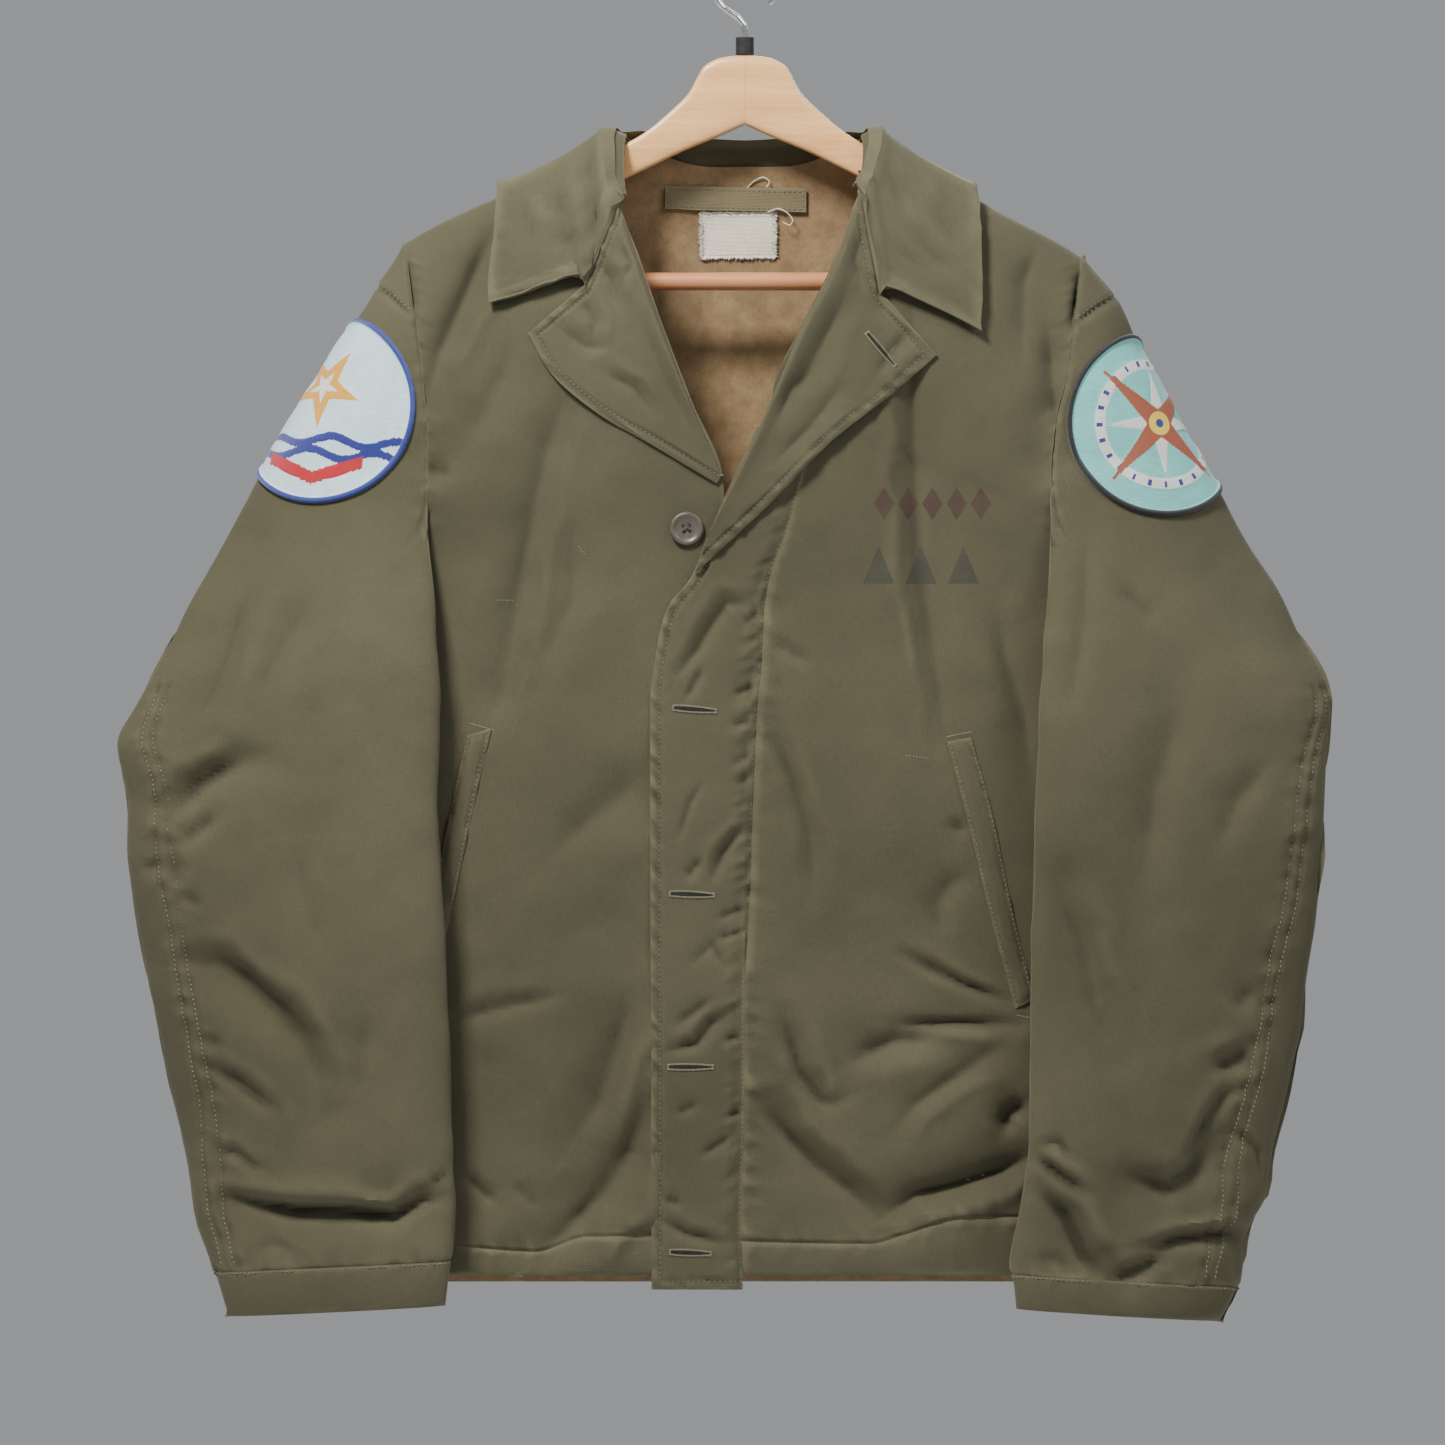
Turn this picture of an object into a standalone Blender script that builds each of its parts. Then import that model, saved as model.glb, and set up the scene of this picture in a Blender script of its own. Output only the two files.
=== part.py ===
"""Deck jacket hung on a wooden hanger.

Units are metres, +Z is up, the jacket's front looks along -Y, and the origin is the point
inside the top of the hanger's hook that bears on whatever holds it up. "right" and "left"
are the wearer's, so the right side has negative X. The short tables are in millimetres.
"""

import math

import bmesh
import bpy
import numpy as np
from mathutils import Vector

MM = 0.001

# Cloth
WALL = 1.6 * MM
THIN_WALL = 1.2 * MM
LINING_WALL = 1.0 * MM
LINING_INSET = 2.4 * MM
SEAM_GAP = 0.4 * MM
ARMHOLE_GAP = 1.2 * MM
FELL_GAP = 0.7 * MM
CUFF_GAP = 1.0 * MM
LAYER_GAP = 0.7 * MM

# Body: a flat tube that falls from the shoulder ridge
FRONT_DEPTH = 45 * MM
BACK_DEPTH = 40 * MM
SHOULDER_DROP = 160 * MM
SIDE_POWER = 6.0
HEM_FRONT = -794 * MM
HEM_BACK = -802 * MM
HEM_BAND = 18 * MM
UNDERARM = -400 * MM
ARMHOLE_STEPS = (0.007, 0.03, 0.075, 0.14, 0.22, 0.32, 0.44, 0.57, 0.71, 0.84, 0.93, 0.97, 1.0)
BODY_STEPS = 9
FRONT_COLUMNS = 10
BACK_COLUMNS = (0.16, 0.30, 0.36, 0.5, 0.64, 0.77, 0.88, 0.96, 1.0)
SIDE_EASE = 1.6

# columns: x, z of the ridge that the shoulders and the neck lie along
RIDGE = (
    (-205, -173), (-184, -161), (-158, -149), (-141, -142), (-100, -122), (-75, -110),
    (-40, -98), (0, -92), (40, -98), (75, -111), (100, -124), (128, -139), (143, -148),
    (167, -161), (192, -174), (203, -181),
)
# columns: z, half width of the body's tube
BODY_WIDTH = ((-173, 300), (-300, 280), (-367, 262), (-400, 252), (-420, 256), (-450, 262), (-810, 262))
# columns: z, distance of the armhole seam from the middle
ARMHOLE = {
    -1: ((-173, 205), (-209, 200), (-235, 196), (-259, 193), (-283, 191), (-320, 190.5),
         (-341, 194), (-367, 212), (-388, 236), (-400, 251.5)),
    1: ((-181, 203), (-209, 199.5), (-231, 196.5), (-257, 193), (-283, 187), (-317, 184),
        (-341, 188), (-367, 208), (-388, 235), (-400, 251.5)),
}
TIP = {-1: -173 * MM, 1: -181 * MM}
# columns: z, x of each front's own edge: the roll line of its lapel, then the closing edge
FRONT_EDGE = {
    -1: ((-108, -77), (-140, -77), (-184, -63), (-222, -50), (-269, -32), (-317, -13), (-345, -12),
         (-810, -12)),
    1: ((-108, 75), (-136, 71), (-157, 65), (-188, 52), (-222, 35), (-262, 17), (-273, 16),
        (-292, 40), (-317, 33.5), (-350, 24.5), (-372, 15.5), (-394, 11.5), (-431, 9.5), (-449, 7.5),
        (-569, 2.5), (-629, -0.5), (-701, -0.5), (-760, -2.5), (-810, 0)),
}
# columns: z, x of the placket's free edge
PLACKET_EDGE = (
    (-278, 9.5), (-290, 5), (-322, -10), (-350, -22), (-376, -33), (-392, -46), (-407, -51),
    (-431, -55), (-449, -57), (-810, -56),
)
PLACKET_TOP = -285 * MM
PLACKET_LONGER = 3 * MM
PLACKET_LIFT = 2.5 * MM
PLACKET_RISE = 11 * MM

# Sleeves, columns: z, outer fold, inner fold, both as distances from the middle
SLEEVE = {
    -1: ((-173, 206, 205), (-185, 212, 203), (-197, 221, 201.5), (-209, 228, 200), (-235, 246, 196),
         (-259, 260, 193), (-283, 275, 191), (-317, 295, 190.5), (-341, 308, 190.5), (-389, 334, 186),
         (-425, 351, 184), (-449, 364, 183), (-476, 377, 183), (-509, 371, 184), (-545, 370, 182),
         (-581, 365, 181), (-629, 355, 178), (-665, 348, 176), (-701, 339, 175.5), (-725, 334, 175),
         (-749, 330, 173), (-773, 322, 174), (-791, 316, 177), (-818, 308, 180)),
    1: ((-181, 204, 203), (-189, 210, 202), (-197, 216, 201), (-209, 225, 199.5), (-231, 237, 196.5),
        (-257, 251, 193), (-283, 265, 187), (-317, 283, 184), (-353, 302, 183), (-389, 324, 181),
        (-413, 336, 179), (-437, 349, 178), (-449, 352, 177), (-485, 349, 175.5), (-533, 347, 173),
        (-569, 344, 172), (-605, 338, 171), (-641, 334, 171), (-677, 327, 170), (-713, 317, 170),
        (-737, 313, 167), (-761, 301, 163), (-785, 298, 158), (-800, 292, 161), (-824, 278, 163)),
}
# columns: z, y of the inner fold, y of the outer fold, y of the back wall's middle, bulge of the front
# wall, share of the closed tube's form in the front wall
SLEEVE_DEPTH = (
    (-173, 0, 0, 0, 0, 0), (-300, -43, -2, 35, 4, 0), (-341, -47, -5, 32, 9, 0.35),
    (-367, -53, -9, 26, 14, 0.65), (-388, -58, -13, 12, 17, 0.85), (-400, -60, -15, -4, 18, 0.92),
    (-415, -62, -18, -20, 19, 1), (-440, -64, -24, -31, 20, 1), (-500, -65, -30, -34, 21, 1),
    (-700, -66, -34, -36, 20, 1), (-824, -66, -36, -38, 19, 1),
)
SLEEVE_REST = 7 * MM
FOLD_OPEN = 2.4 * MM
FELLED_SEAM = 0.86
SLEEVE_STEPS = (-412, -427, -446, -470, -500, -535, -574, -614, -654, -692, -726, -757)
TOP_COLUMNS = 10
UNDER_COLUMNS = 10
LAYER_COLUMNS = 6
LAYER_TOP = -345 * MM
# columns: depth of the cuff's seam and edge at the inner fold, and how much lower the outer fold is
CUFF = {-1: (-784, -811, 8), 1: (-792, -813, 9)}

# Lapels, columns: along, roll line x, z, outer edge x, z
LAPEL = {
    -1: ((0.00, -75.5, -150, -130, -229), (0.25, -66, -178, -117, -252), (0.50, -52, -218, -88, -277),
         (0.75, -35, -264, -52, -298), (1.00, -14, -314, -17, -319)),
    1: ((0.00, 69, -140, 115, -242), (0.25, 55, -182, 88, -265), (0.50, 34, -226, 54, -292),
        (0.75, 7, -288, 12, -334), (1.00, -22, -350, -30, -373)),
}
# columns: x, z of the notch where the collar's gorge seam ends
NOTCH = {-1: (-96, -200), 1: (81, -204)}
LAPEL_LIFT = 2.4 * MM
LAPEL_ROLL = 4.5 * MM
LAPEL_SEAM = 0.35 * MM

# Collar, columns for one station: neck seam x, d; roll x, d; leaf edge x, d; lift of the roll.
# d is the distance below the ridge, in front of it when negative and behind it when positive.
COLLAR = (
    (-71, -38, -77.5, -33, -152, -66, 4.4), (-72.5, -24, -80, -19, -153, -50, 5.4),
    (-72.5, -9, -80, -6, -150, -22, 7.4), (-70.5, 2, -77, 1, -147, 2, 8),
    (-63, 10, -66, 3, -132, 38, 6.4), (-40, 28, -42, 12, -82, 82, 5.4),
    (0, 38, 0, 21, 0, 104, 5.4), (40, 28, 41, 12, 80, 82, 5.4),
    (62, 11, 65, 3, 128, 38, 6.4), (69.5, 2, 74, 1, 137, 2, 8),
    (71, -9, 76, -6, 140, -22, 7.4), (70, -22, 74, -17, 142, -56, 5.4),
    (65, -34, 70, -29, 141, -82, 4.4),
)
# x, d of the notches, and the share of the collar's end that its gorge seam takes
COLLAR_NOTCH = ((-93, -73), (79.5, -85))
GORGE = 0.38
COLLAR_COLUMNS = 45
COLLAR_LIFT = 4.4 * MM

# Pocket welts, columns: along, inner edge x, z, outer edge x, z
WELT = {
    -1: ((0.0, -152, -466, -167, -470), (0.35, -162, -509, -177, -514), (0.7, -174, -566, -188, -570),
         (1.0, -186, -622, -200, -626)),
    1: ((0.0, 121, -474, 136, -471), (0.35, 134, -523, 150, -523), (0.7, 146, -574, 161, -576),
        (1.0, 162, -634, 174, -628)),
}
WELT_LIFT = 1.6 * MM

# The largest folds, columns: width, depth, then the x, z of the points along the trough
BODY_FOLDS = (
    (16, 5, ((-150, -175), (-168, -215), (-180, -262), (-176, -300))),
    (15, 5, ((178, -200), (184, -245), (180, -300))),
    (18, 4, ((-86, -650), (-94, -700), (-106, -745), (-126, -778))),
    (18, 4, ((30, -700), (55, -732), (90, -760))),
    (18, 4, ((160, -724), (128, -740), (92, -756))),
    (20, 3, ((104, -280), (106, -360), (118, -440))),
    (20, 3, ((-112, -300), (-126, -370), (-146, -440))),
)
SLEEVE_FOLDS = {
    -1: ((16, 5, ((-345, -512), (-322, -494), (-295, -484))),
         (16, 5, ((-325, -606), (-292, -622), (-262, -655), (-250, -690))),
         (16, 5, ((-305, -750), (-250, -757), (-190, -748))),
         (20, 3, ((-300, -360), (-325, -420), (-335, -465)))),
    1: ((18, 4, ((188, -560), (204, -620), (224, -655))),
        (15, 5, ((232, -738), (262, -740), (284, -712))),
        (14, 4, ((180, -735), (200, -772), (225, -790))),
        (20, 3, ((262, -440), (240, -510), (238, -570)))),
}

# Discs sewn on the upper sleeves: x, z of the middle and the radius
PATCH = {-1: (-257, -273, 59), 1: (251, -282.6, 57.5)}
PATCH_WALL = 1.3 * MM
PATCH_LIFT = 3.0 * MM
PATCH_RINGS = 6
PATCH_SIDES = 30

# Button that the lapels leave bare
BUTTON_AT = (-35 * MM, -346 * MM)
BUTTON_RADIUS = 10.2 * MM
BUTTON_THICKNESS = 3.2 * MM
BUTTON_RIM = 0.6 * MM
BUTTON_HOLE = 1.1 * MM
BUTTON_HOLE_SPREAD = 2.6 * MM

# Tape and label sewn in the neck, mm: middle x, z, half width, half height, tilt
LOOP_TAPE = (-5.5, -144, 43, 7, 0.02)
LABEL = (-4, -166, 23, 14, -0.01)
NECK_LIFT = 2.0 * MM

# Hanger, columns: x, z of the top edge, z of the lower edge, half thickness, y of the middle
HANGER_ARM = (
    (0.3, -59, -101, 7.5, 3), (12, -60, -102, 7.5, 3), (24, -68, -106, 7.5, 3), (34, -82, -111, 7.5, 3),
    (45, -92, -118, 7.5, 2.5), (59, -104.5, -127, 7, 1), (76, -116, -136, 7, 0), (105, -129.5, -149, 7, -0.5),
    (141, -147.5, -166, 7, -1), (170, -160, -183, 7.5, -1), (190, -172, -198, 8, -1),
    (202.5, -182, -207, 8, -1), (208, -189, -205, 7, -1),
)
ARM_DROP = {-1: 0.0, 1: 5 * MM}
ARM_SIDES = 16
BAR_RADIUS = 5.5 * MM
BAR_HEIGHT = -196 * MM
BAR_REACH = 201 * MM
BAR_SOCKET = 202 * MM
BAR_SOCKET_LENGTH = 44 * MM
WIRE = 2.0 * MM
HOOK_RADIUS = 19 * MM
HOOK_START = math.radians(225)
HOOK_END = math.radians(-38)
HOOK_FOOT = -52 * MM
FERRULE_RADIUS = 5.5 * MM
FERRULE_TOP = -48.5 * MM
FERRULE_BOTTOM = -59.1 * MM

# Colours (linear), roughness, metallic
OLIVE = (0.145, 0.125, 0.070)
BROWN_WOOL = (0.20, 0.12, 0.055)
WOOD = (0.78, 0.48, 0.24)
PALE = (0.72, 0.68, 0.56)


def clear_scene():
    for item in list(bpy.data.objects):
        bpy.data.objects.remove(item, do_unlink=True)


def material(name, colour, roughness=0.9, metallic=0.0):
    made = bpy.data.materials.get(name)
    if made is None:
        made = bpy.data.materials.new(name)
        made.use_nodes = True
        shader = made.node_tree.nodes["Principled BSDF"]
        shader.inputs["Base Color"].default_value = (*colour, 1.0)
        shader.inputs["Roughness"].default_value = roughness
        shader.inputs["Metallic"].default_value = metallic
    return made


def smooth_step(value):
    value = min(1.0, max(0.0, value))
    return value * value * (3.0 - 2.0 * value)


def read_table(table, at, column=1):
    """Smooth curve through one column of a table whose first column runs up or down."""
    keys = [row[0] for row in table]
    values = [row[column] for row in table]
    if keys[0] > keys[-1]:
        keys.reverse()
        values.reverse()
    if at <= keys[0]:
        return values[0]
    if at >= keys[-1]:
        return values[-1]
    i = 1
    while keys[i] < at:
        i += 1
    slopes = [(values[k + 1] - values[k]) / (keys[k + 1] - keys[k]) for k in range(len(keys) - 1)]

    def tangent(k):
        if k == 0 or k == len(keys) - 1 or slopes[k - 1] * slopes[k] <= 0:
            return 0.0 if 0 < k < len(keys) - 1 else slopes[min(k, len(slopes) - 1)]
        return 2 * slopes[k - 1] * slopes[k] / (slopes[k - 1] + slopes[k])

    span = keys[i] - keys[i - 1]
    t = (at - keys[i - 1]) / span
    start = values[i - 1] * (2 * t ** 3 - 3 * t ** 2 + 1) + values[i] * (3 * t ** 2 - 2 * t ** 3)
    return start + span * (tangent(i - 1) * (t ** 3 - 2 * t ** 2 + t) + tangent(i) * (t ** 3 - t ** 2))


def table_mm(table, at, column=1):
    return read_table(table, at / MM, column) * MM


def fold_depth(folds, x, z):
    """How far the folds' troughs sink the cloth at a place seen from the front."""
    total = 0.0
    here = Vector((x / MM, z / MM))
    for width, depth, points in folds:
        best = 9999.0
        for a, b in zip(points, points[1:]):
            start = Vector(a)
            run = Vector(b) - start
            t = min(1.0, max(0.0, (here - start).dot(run) / run.length_squared))
            best = min(best, (here - start - run * t).length)
        total += depth * MM * math.exp(-(best / width) ** 2)
    return total


def ridge(x):
    return table_mm(RIDGE, x)


def half_depth(limit, h):
    h = min(max(h, 0.0), SHOULDER_DROP)
    return limit * math.sqrt(1.0 - (1.0 - h / SHOULDER_DROP) ** 2)


def side_round(x, z):
    share = min(1.0, abs(x) / table_mm(BODY_WIDTH, z))
    return math.sqrt(max(0.0, 1.0 - share ** SIDE_POWER))


def front_y(x, z):
    depth = half_depth(FRONT_DEPTH, ridge(x) - z) * side_round(x, z)
    sink = fold_depth(BODY_FOLDS, x, z) * min(1.0, depth / FRONT_DEPTH)
    return sink - depth


def back_y(x, z):
    return half_depth(BACK_DEPTH, ridge(x) - z) * side_round(x, z)


def front_point(x, z):
    return Vector((x, front_y(x, z), z))


def back_point(x, z):
    return Vector((x, back_y(x, z), z))


def over_point(x, d):
    """Point of the body's surface a distance d below the ridge, behind it when d is positive."""
    z = ridge(x) - abs(d)
    if d < 0:
        return front_point(x, z)
    return back_point(x, z)


def moved_out(place, u, v, lift, du=0.6 * MM, dv=0.6 * MM):
    """Point of a surface moved along its normal, which looks away from the body's middle."""
    along = place(u + du, v) - place(u - du, v)
    down = place(u, v + dv) - place(u, v - dv)
    normal = along.cross(down)
    normal.normalize()
    here = place(u, v)
    outward = Vector((0.0, here.y, 0.02))
    if normal.dot(outward) < 0:
        normal = -normal
    return here + normal * lift


def add_to(collection, item, look):
    collection.objects.link(item)
    item.data.materials.append(look)
    return item


def solid_from_grid(name, rows, look, wall, collection, inward=True, closed=False):
    """Open sheet through rows of points, given a wall by Solidify.

    The rows run from the wearer's right to left and downward, so faces look out at the front.
    """
    mesh = bpy.data.meshes.new(name)
    bm = bmesh.new()
    lines = [[bm.verts.new(point) for point in row] for row in rows]
    for upper, lower in zip(lines, lines[1:]):
        count = len(upper)
        for i in range(count if closed else count - 1):
            j = (i + 1) % count
            bm.faces.new((upper[i], lower[i], lower[j], upper[j]))
    bm.to_mesh(mesh)
    bm.free()
    item = bpy.data.objects.new(name, mesh)
    add_to(collection, item, look)
    thick = item.modifiers.new("Wall", "SOLIDIFY")
    thick.thickness = wall
    thick.offset = -1.0 if inward else 1.0
    thick.use_even_offset = False
    mesh.shade_smooth()
    return item


def rows_for_side(side):
    """Depths of the rows at the armhole and the side seam, shared by body and sleeve."""
    tip = TIP[side]
    rows = [tip + (UNDERARM - tip) * share for share in ARMHOLE_STEPS]
    last = HEM_FRONT + HEM_BAND
    rows += [UNDERARM + (last - UNDERARM) * (k + 1) / BODY_STEPS for k in range(BODY_STEPS)]
    return rows


def side_edge(side, z):
    if z > UNDERARM:
        return table_mm(ARMHOLE[side], z)
    return table_mm(BODY_WIDTH, z) - 0.05 * MM


def side_gap(z):
    """Half the gap that the body leaves at the armhole or the side seam."""
    return ARMHOLE_GAP / 2 if z > UNDERARM else SEAM_GAP / 2


def front_row(side, z_side, columns, bottom):
    """One row of a front, from its own edge to the armhole or side seam."""
    tip = TIP[side]
    share = (tip - z_side) / (tip - bottom)
    edge = table_mm(FRONT_EDGE[side], z_side)
    for _ in range(6):
        top = ridge(edge)
        z_edge = top + (bottom - top) * share
        edge = table_mm(FRONT_EDGE[side], z_edge)
    outer = side * (side_edge(side, z_side) - side_gap(z_side))
    row = []
    for k in range(columns + 1):
        s = 1.0 - (1.0 - k / columns) ** SIDE_EASE
        x = edge + (outer - edge) * s
        top = ridge(x) + (tip - ridge(outer)) * s ** 3
        z = top + (bottom - top) * share
        point = front_point(x, z)
        point.y = min(point.y, -SEAM_GAP / 2)
        row.append(point)
    if side > 0:
        return row
    return row[::-1]


def build_front(side, name, band_name, collection, cloth):
    rows = [front_row(side, TIP[side] - 0.0002, FRONT_COLUMNS, HEM_FRONT)]
    rows += [front_row(side, z, FRONT_COLUMNS, HEM_FRONT) for z in rows_for_side(side)]
    solid_from_grid(name, rows, cloth, WALL, collection)
    seam = HEM_FRONT + HEM_BAND - SEAM_GAP
    band = [front_row(side, z, FRONT_COLUMNS, HEM_FRONT) for z in (seam, (seam + HEM_FRONT) / 2, HEM_FRONT)]
    solid_from_grid(band_name, band, cloth, WALL, collection)


def back_neck(x):
    """Depth below the ridge of the seam that joins the back to the collar."""
    share = min(1.0, abs(x) / (73 * MM))
    return 39 * MM * (1.0 - share ** 2.4)


def back_places(z_sides, bottom):
    """x, z of one row of the back, whose side edges lie at these depths on each side."""
    places = []
    for s in [-c for c in BACK_COLUMNS[::-1]] + [0.0] + list(BACK_COLUMNS):
        side = -1 if s < 0 else 1
        tip = TIP[side]
        edge = side_edge(side, z_sides[side]) - side_gap(z_sides[side])
        x = s * edge
        top = ridge(x) - back_neck(x) + (tip - ridge(side * edge)) * abs(s) ** 3
        places.append((x, top + (bottom - top) * (tip - z_sides[side]) / (tip - bottom)))
    return places


def back_row(z_sides, bottom):
    row = [back_point(x, z) for x, z in back_places(z_sides, bottom)]
    for point in row:
        point.y = max(point.y, SEAM_GAP / 2)
    return row[::-1]


def back_depths():
    """Depths of the back's rows at its two side edges, down to the hem band's seam."""
    depths = [{side: TIP[side] - 0.2 * MM for side in TIP}]
    depths += [{-1: right, 1: left} for right, left in zip(rows_for_side(-1)[:-1], rows_for_side(1)[:-1])]
    depths.append({side: HEM_BACK + HEM_BAND for side in TIP})
    return depths


def build_back(collection, cloth, wool):
    rows = [back_row(depth, HEM_BACK) for depth in back_depths()]
    solid_from_grid("back", rows, cloth, WALL, collection)
    seam = HEM_BACK + HEM_BAND - SEAM_GAP
    band = [back_row({-1: z, 1: z}, HEM_BACK) for z in (seam, (seam + HEM_BACK) / 2, HEM_BACK)]
    solid_from_grid("hem_back", band, cloth, WALL, collection)
    build_lining(collection, wool)


def build_lining(collection, wool):
    """Brown lining inside the back, from the neck seam to the hem, between the side seams."""
    depths = back_depths()
    armhole = len(ARMHOLE_STEPS) + 1
    rows = []
    for depth in depths[1:armhole] + depths[armhole::3] + [{side: HEM_BACK + 1 * MM for side in TIP}]:
        places = back_places(depth, HEM_BACK)[1:-1]
        rows.append([moved_out(back_point, x, z, -LINING_INSET) for x, z in places][::-1])
    solid_from_grid("back_lining", rows, wool, LINING_WALL, collection)


def placket_point(x, z, lift=0.0):
    seam = table_mm(FRONT_EDGE[1], z)
    rise = PLACKET_LIFT * smooth_step((seam - x) / PLACKET_RISE)
    point = front_point(x, z)
    point.y -= rise + lift
    return point


def build_placket(collection, cloth):
    """Band along the left front's closing edge; its rows end on the rows of that front."""
    seam = HEM_FRONT + HEM_BAND - SEAM_GAP
    rows = []
    for z_side in rows_for_side(1) + [(seam + HEM_FRONT) / 2, HEM_FRONT]:
        edge = front_row(1, z_side, 1, HEM_FRONT)[0]
        if edge.z > PLACKET_TOP:
            continue
        left = table_mm(PLACKET_EDGE, edge.z)
        right = edge.x - SEAM_GAP
        low = PLACKET_LONGER * smooth_step((-770 * MM - edge.z) / (24 * MM))
        rows.append([placket_point(x, edge.z - low) for x in np.linspace(left, right, 6)])
    solid_from_grid("placket", rows, cloth, WALL, collection)


def lapel_place(side, along, across):
    """x, z of a lapel's point: along its roll line, and across to its outer edge."""
    roll = Vector((read_table(LAPEL[side], along, 1), read_table(LAPEL[side], along, 2)))
    outer = Vector((read_table(LAPEL[side], along, 3), read_table(LAPEL[side], along, 4)))
    first = LAPEL[side][0]
    start = Vector(first[1:3])
    tip = Vector(first[3:5])
    notch = Vector(NOTCH[side])
    bend = 0.52
    corner = start.lerp(notch, across / bend) if across < bend else notch.lerp(tip, (across - bend) / (1 - bend))
    bulge = corner - start.lerp(tip, across)
    return (roll.lerp(outer, across) + bulge * (1 - along) ** 1.5) * MM


def lapel_lift(along, across, base):
    if across == 0:
        return base - LAPEL_LIFT + THIN_WALL + LAPEL_SEAM
    return base + LAPEL_ROLL * math.exp(-(across / 0.16) ** 2) * math.sin(math.pi * min(1, along + 0.08) ** 0.7)


def build_lapel(side, name, collection, cloth):
    rows = []
    base = LAPEL_LIFT
    for along in np.linspace(0, 1, 11):
        row = []
        for across in (0.0, 0.07, 0.16, 0.3, 0.52, 0.76, 1.0):
            place = lapel_place(side, along, across)
            lift = base
            if side > 0 and place.y < PLACKET_TOP + 14 * MM:
                lift = base + PLACKET_LIFT
            point = moved_out(front_point, place.x, place.y, lapel_lift(along, across, lift))
            row.append(point)
        rows.append(row if side > 0 else row[::-1])
    solid_from_grid(name, rows, cloth, THIN_WALL, collection)


def collar_station(k, column):
    """One column of the collar's table at a place between its stations."""
    indexed = [(i, *row) for i, row in enumerate(COLLAR)]
    return read_table(indexed, k, column + 1)


def gorge_bulge(k, t):
    """How far the leaf's end leaves the straight line from its roll to its point."""
    last = len(COLLAR) - 1
    end = 0 if k < last / 2 else 1
    row = COLLAR[-end]
    roll = Vector(row[2:4])
    edge = Vector(row[4:6])
    notch = Vector(COLLAR_NOTCH[end])
    if t < GORGE:
        bent = roll.lerp(notch, t / GORGE)
    else:
        bent = notch.lerp(edge, (t - GORGE) / (1 - GORGE))
    fade = max(0.0, 1 - min(k, last - k) / 2.2) ** 1.6
    return (bent - roll.lerp(edge, t)) * fade


def collar_point(k, share):
    """Point of the collar: share 0 is the neck seam, 0.3 the roll, 1 the leaf's outer edge."""
    seam = Vector((collar_station(k, 0), collar_station(k, 1)))
    roll = Vector((collar_station(k, 2), collar_station(k, 3)))
    edge = Vector((collar_station(k, 4), collar_station(k, 5)))
    top = collar_station(k, 6) * MM
    if share < 0.3:
        place = seam.lerp(roll, share / 0.3)
        lift = 0.3 * MM + (top - 2.4 * MM) * smooth_step(share / 0.3)
    else:
        t = (share - 0.3) / 0.7
        place = roll.lerp(edge, t) + gorge_bulge(k, t)
        lift = COLLAR_LIFT + (top - COLLAR_LIFT) * math.exp(-(t / 0.3) ** 2)
    return moved_out(over_point, place.x * MM, place.y * MM, lift)


def build_collar(collection, cloth):
    rows = []
    for share in (0.0, 0.15, 0.25, 0.36, 0.57, 0.78, 1.0):
        stations = np.linspace(0, len(COLLAR) - 1, COLLAR_COLUMNS)
        rows.append([collar_point(k, share) for k in stations])
    solid_from_grid("collar", rows, cloth, THIN_WALL, collection)


def sleeve_section(side, z, v):
    """Point of a sleeve at depth z: v runs 0 to 1 over the front wall, 1 to 2 over the back wall to
    its middle, and 2 to 3 along the layer that lies on the body, back to the inner fold."""
    outer = table_mm(SLEEVE[side], z, 1)
    inner = table_mm(SLEEVE[side], z, 2)
    closed = table_mm(SLEEVE_DEPTH, z, 5) / MM
    y_outer = table_mm(SLEEVE_DEPTH, z, 2)
    bulge = table_mm(SLEEVE_DEPTH, z, 4)
    on_body = front_y(side * inner, z)
    joined = smooth_step((z + 345 * MM) / (45 * MM))
    y_inner = joined * on_body + (1 - joined) * table_mm(SLEEVE_DEPTH, z, 1)
    if z > UNDERARM:
        back_edge = table_mm(ARMHOLE[side], z) + ARMHOLE_GAP / 2
        y_back = back_y(side * (back_edge - ARMHOLE_GAP), z)
        y_front_edge = front_y(side * (back_edge - ARMHOLE_GAP), z) - LAYER_GAP
    else:
        back_edge = table_mm(BODY_WIDTH, z) + 6 * MM * smooth_step((UNDERARM - z) / (14 * MM)) + 1.0 * MM
        y_back = table_mm(SLEEVE_DEPTH, z, 3)
        y_front_edge = y_back
    if v <= 1:
        quarter = Vector((inner + (outer - inner) * math.sin(v * math.pi / 2),
                          y_outer + (y_inner - y_outer) * math.cos(v * math.pi / 2)))
        share = (1 - math.cos(v * math.pi)) / 2
        lens = Vector((inner + (outer - inner) * share,
                       y_inner + (y_outer - y_inner) * share - bulge * math.sin(v * math.pi) ** 0.8))
        flat = quarter.lerp(lens, closed)
    elif v <= 2:
        t = (v - 1) * math.pi / 2
        flat = Vector((outer + (back_edge - outer) * (1 - math.cos(t)),
                       y_outer + (y_back - y_outer) * math.sin(t)))
    else:
        t = (v - 2) * math.pi / 2
        flat = Vector((back_edge + (inner - back_edge) * math.sin(t) ** 1.6,
                       y_front_edge + (y_inner - y_front_edge) * (1 - math.cos(t))))
        near = smooth_step((back_edge - flat.x) / (6 * MM))
        limit = front_y(side * flat.x, z) - LAYER_GAP - (SLEEVE_REST - LAYER_GAP) * near
        flat.y = min(flat.y, limit)
    return flat


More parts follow.
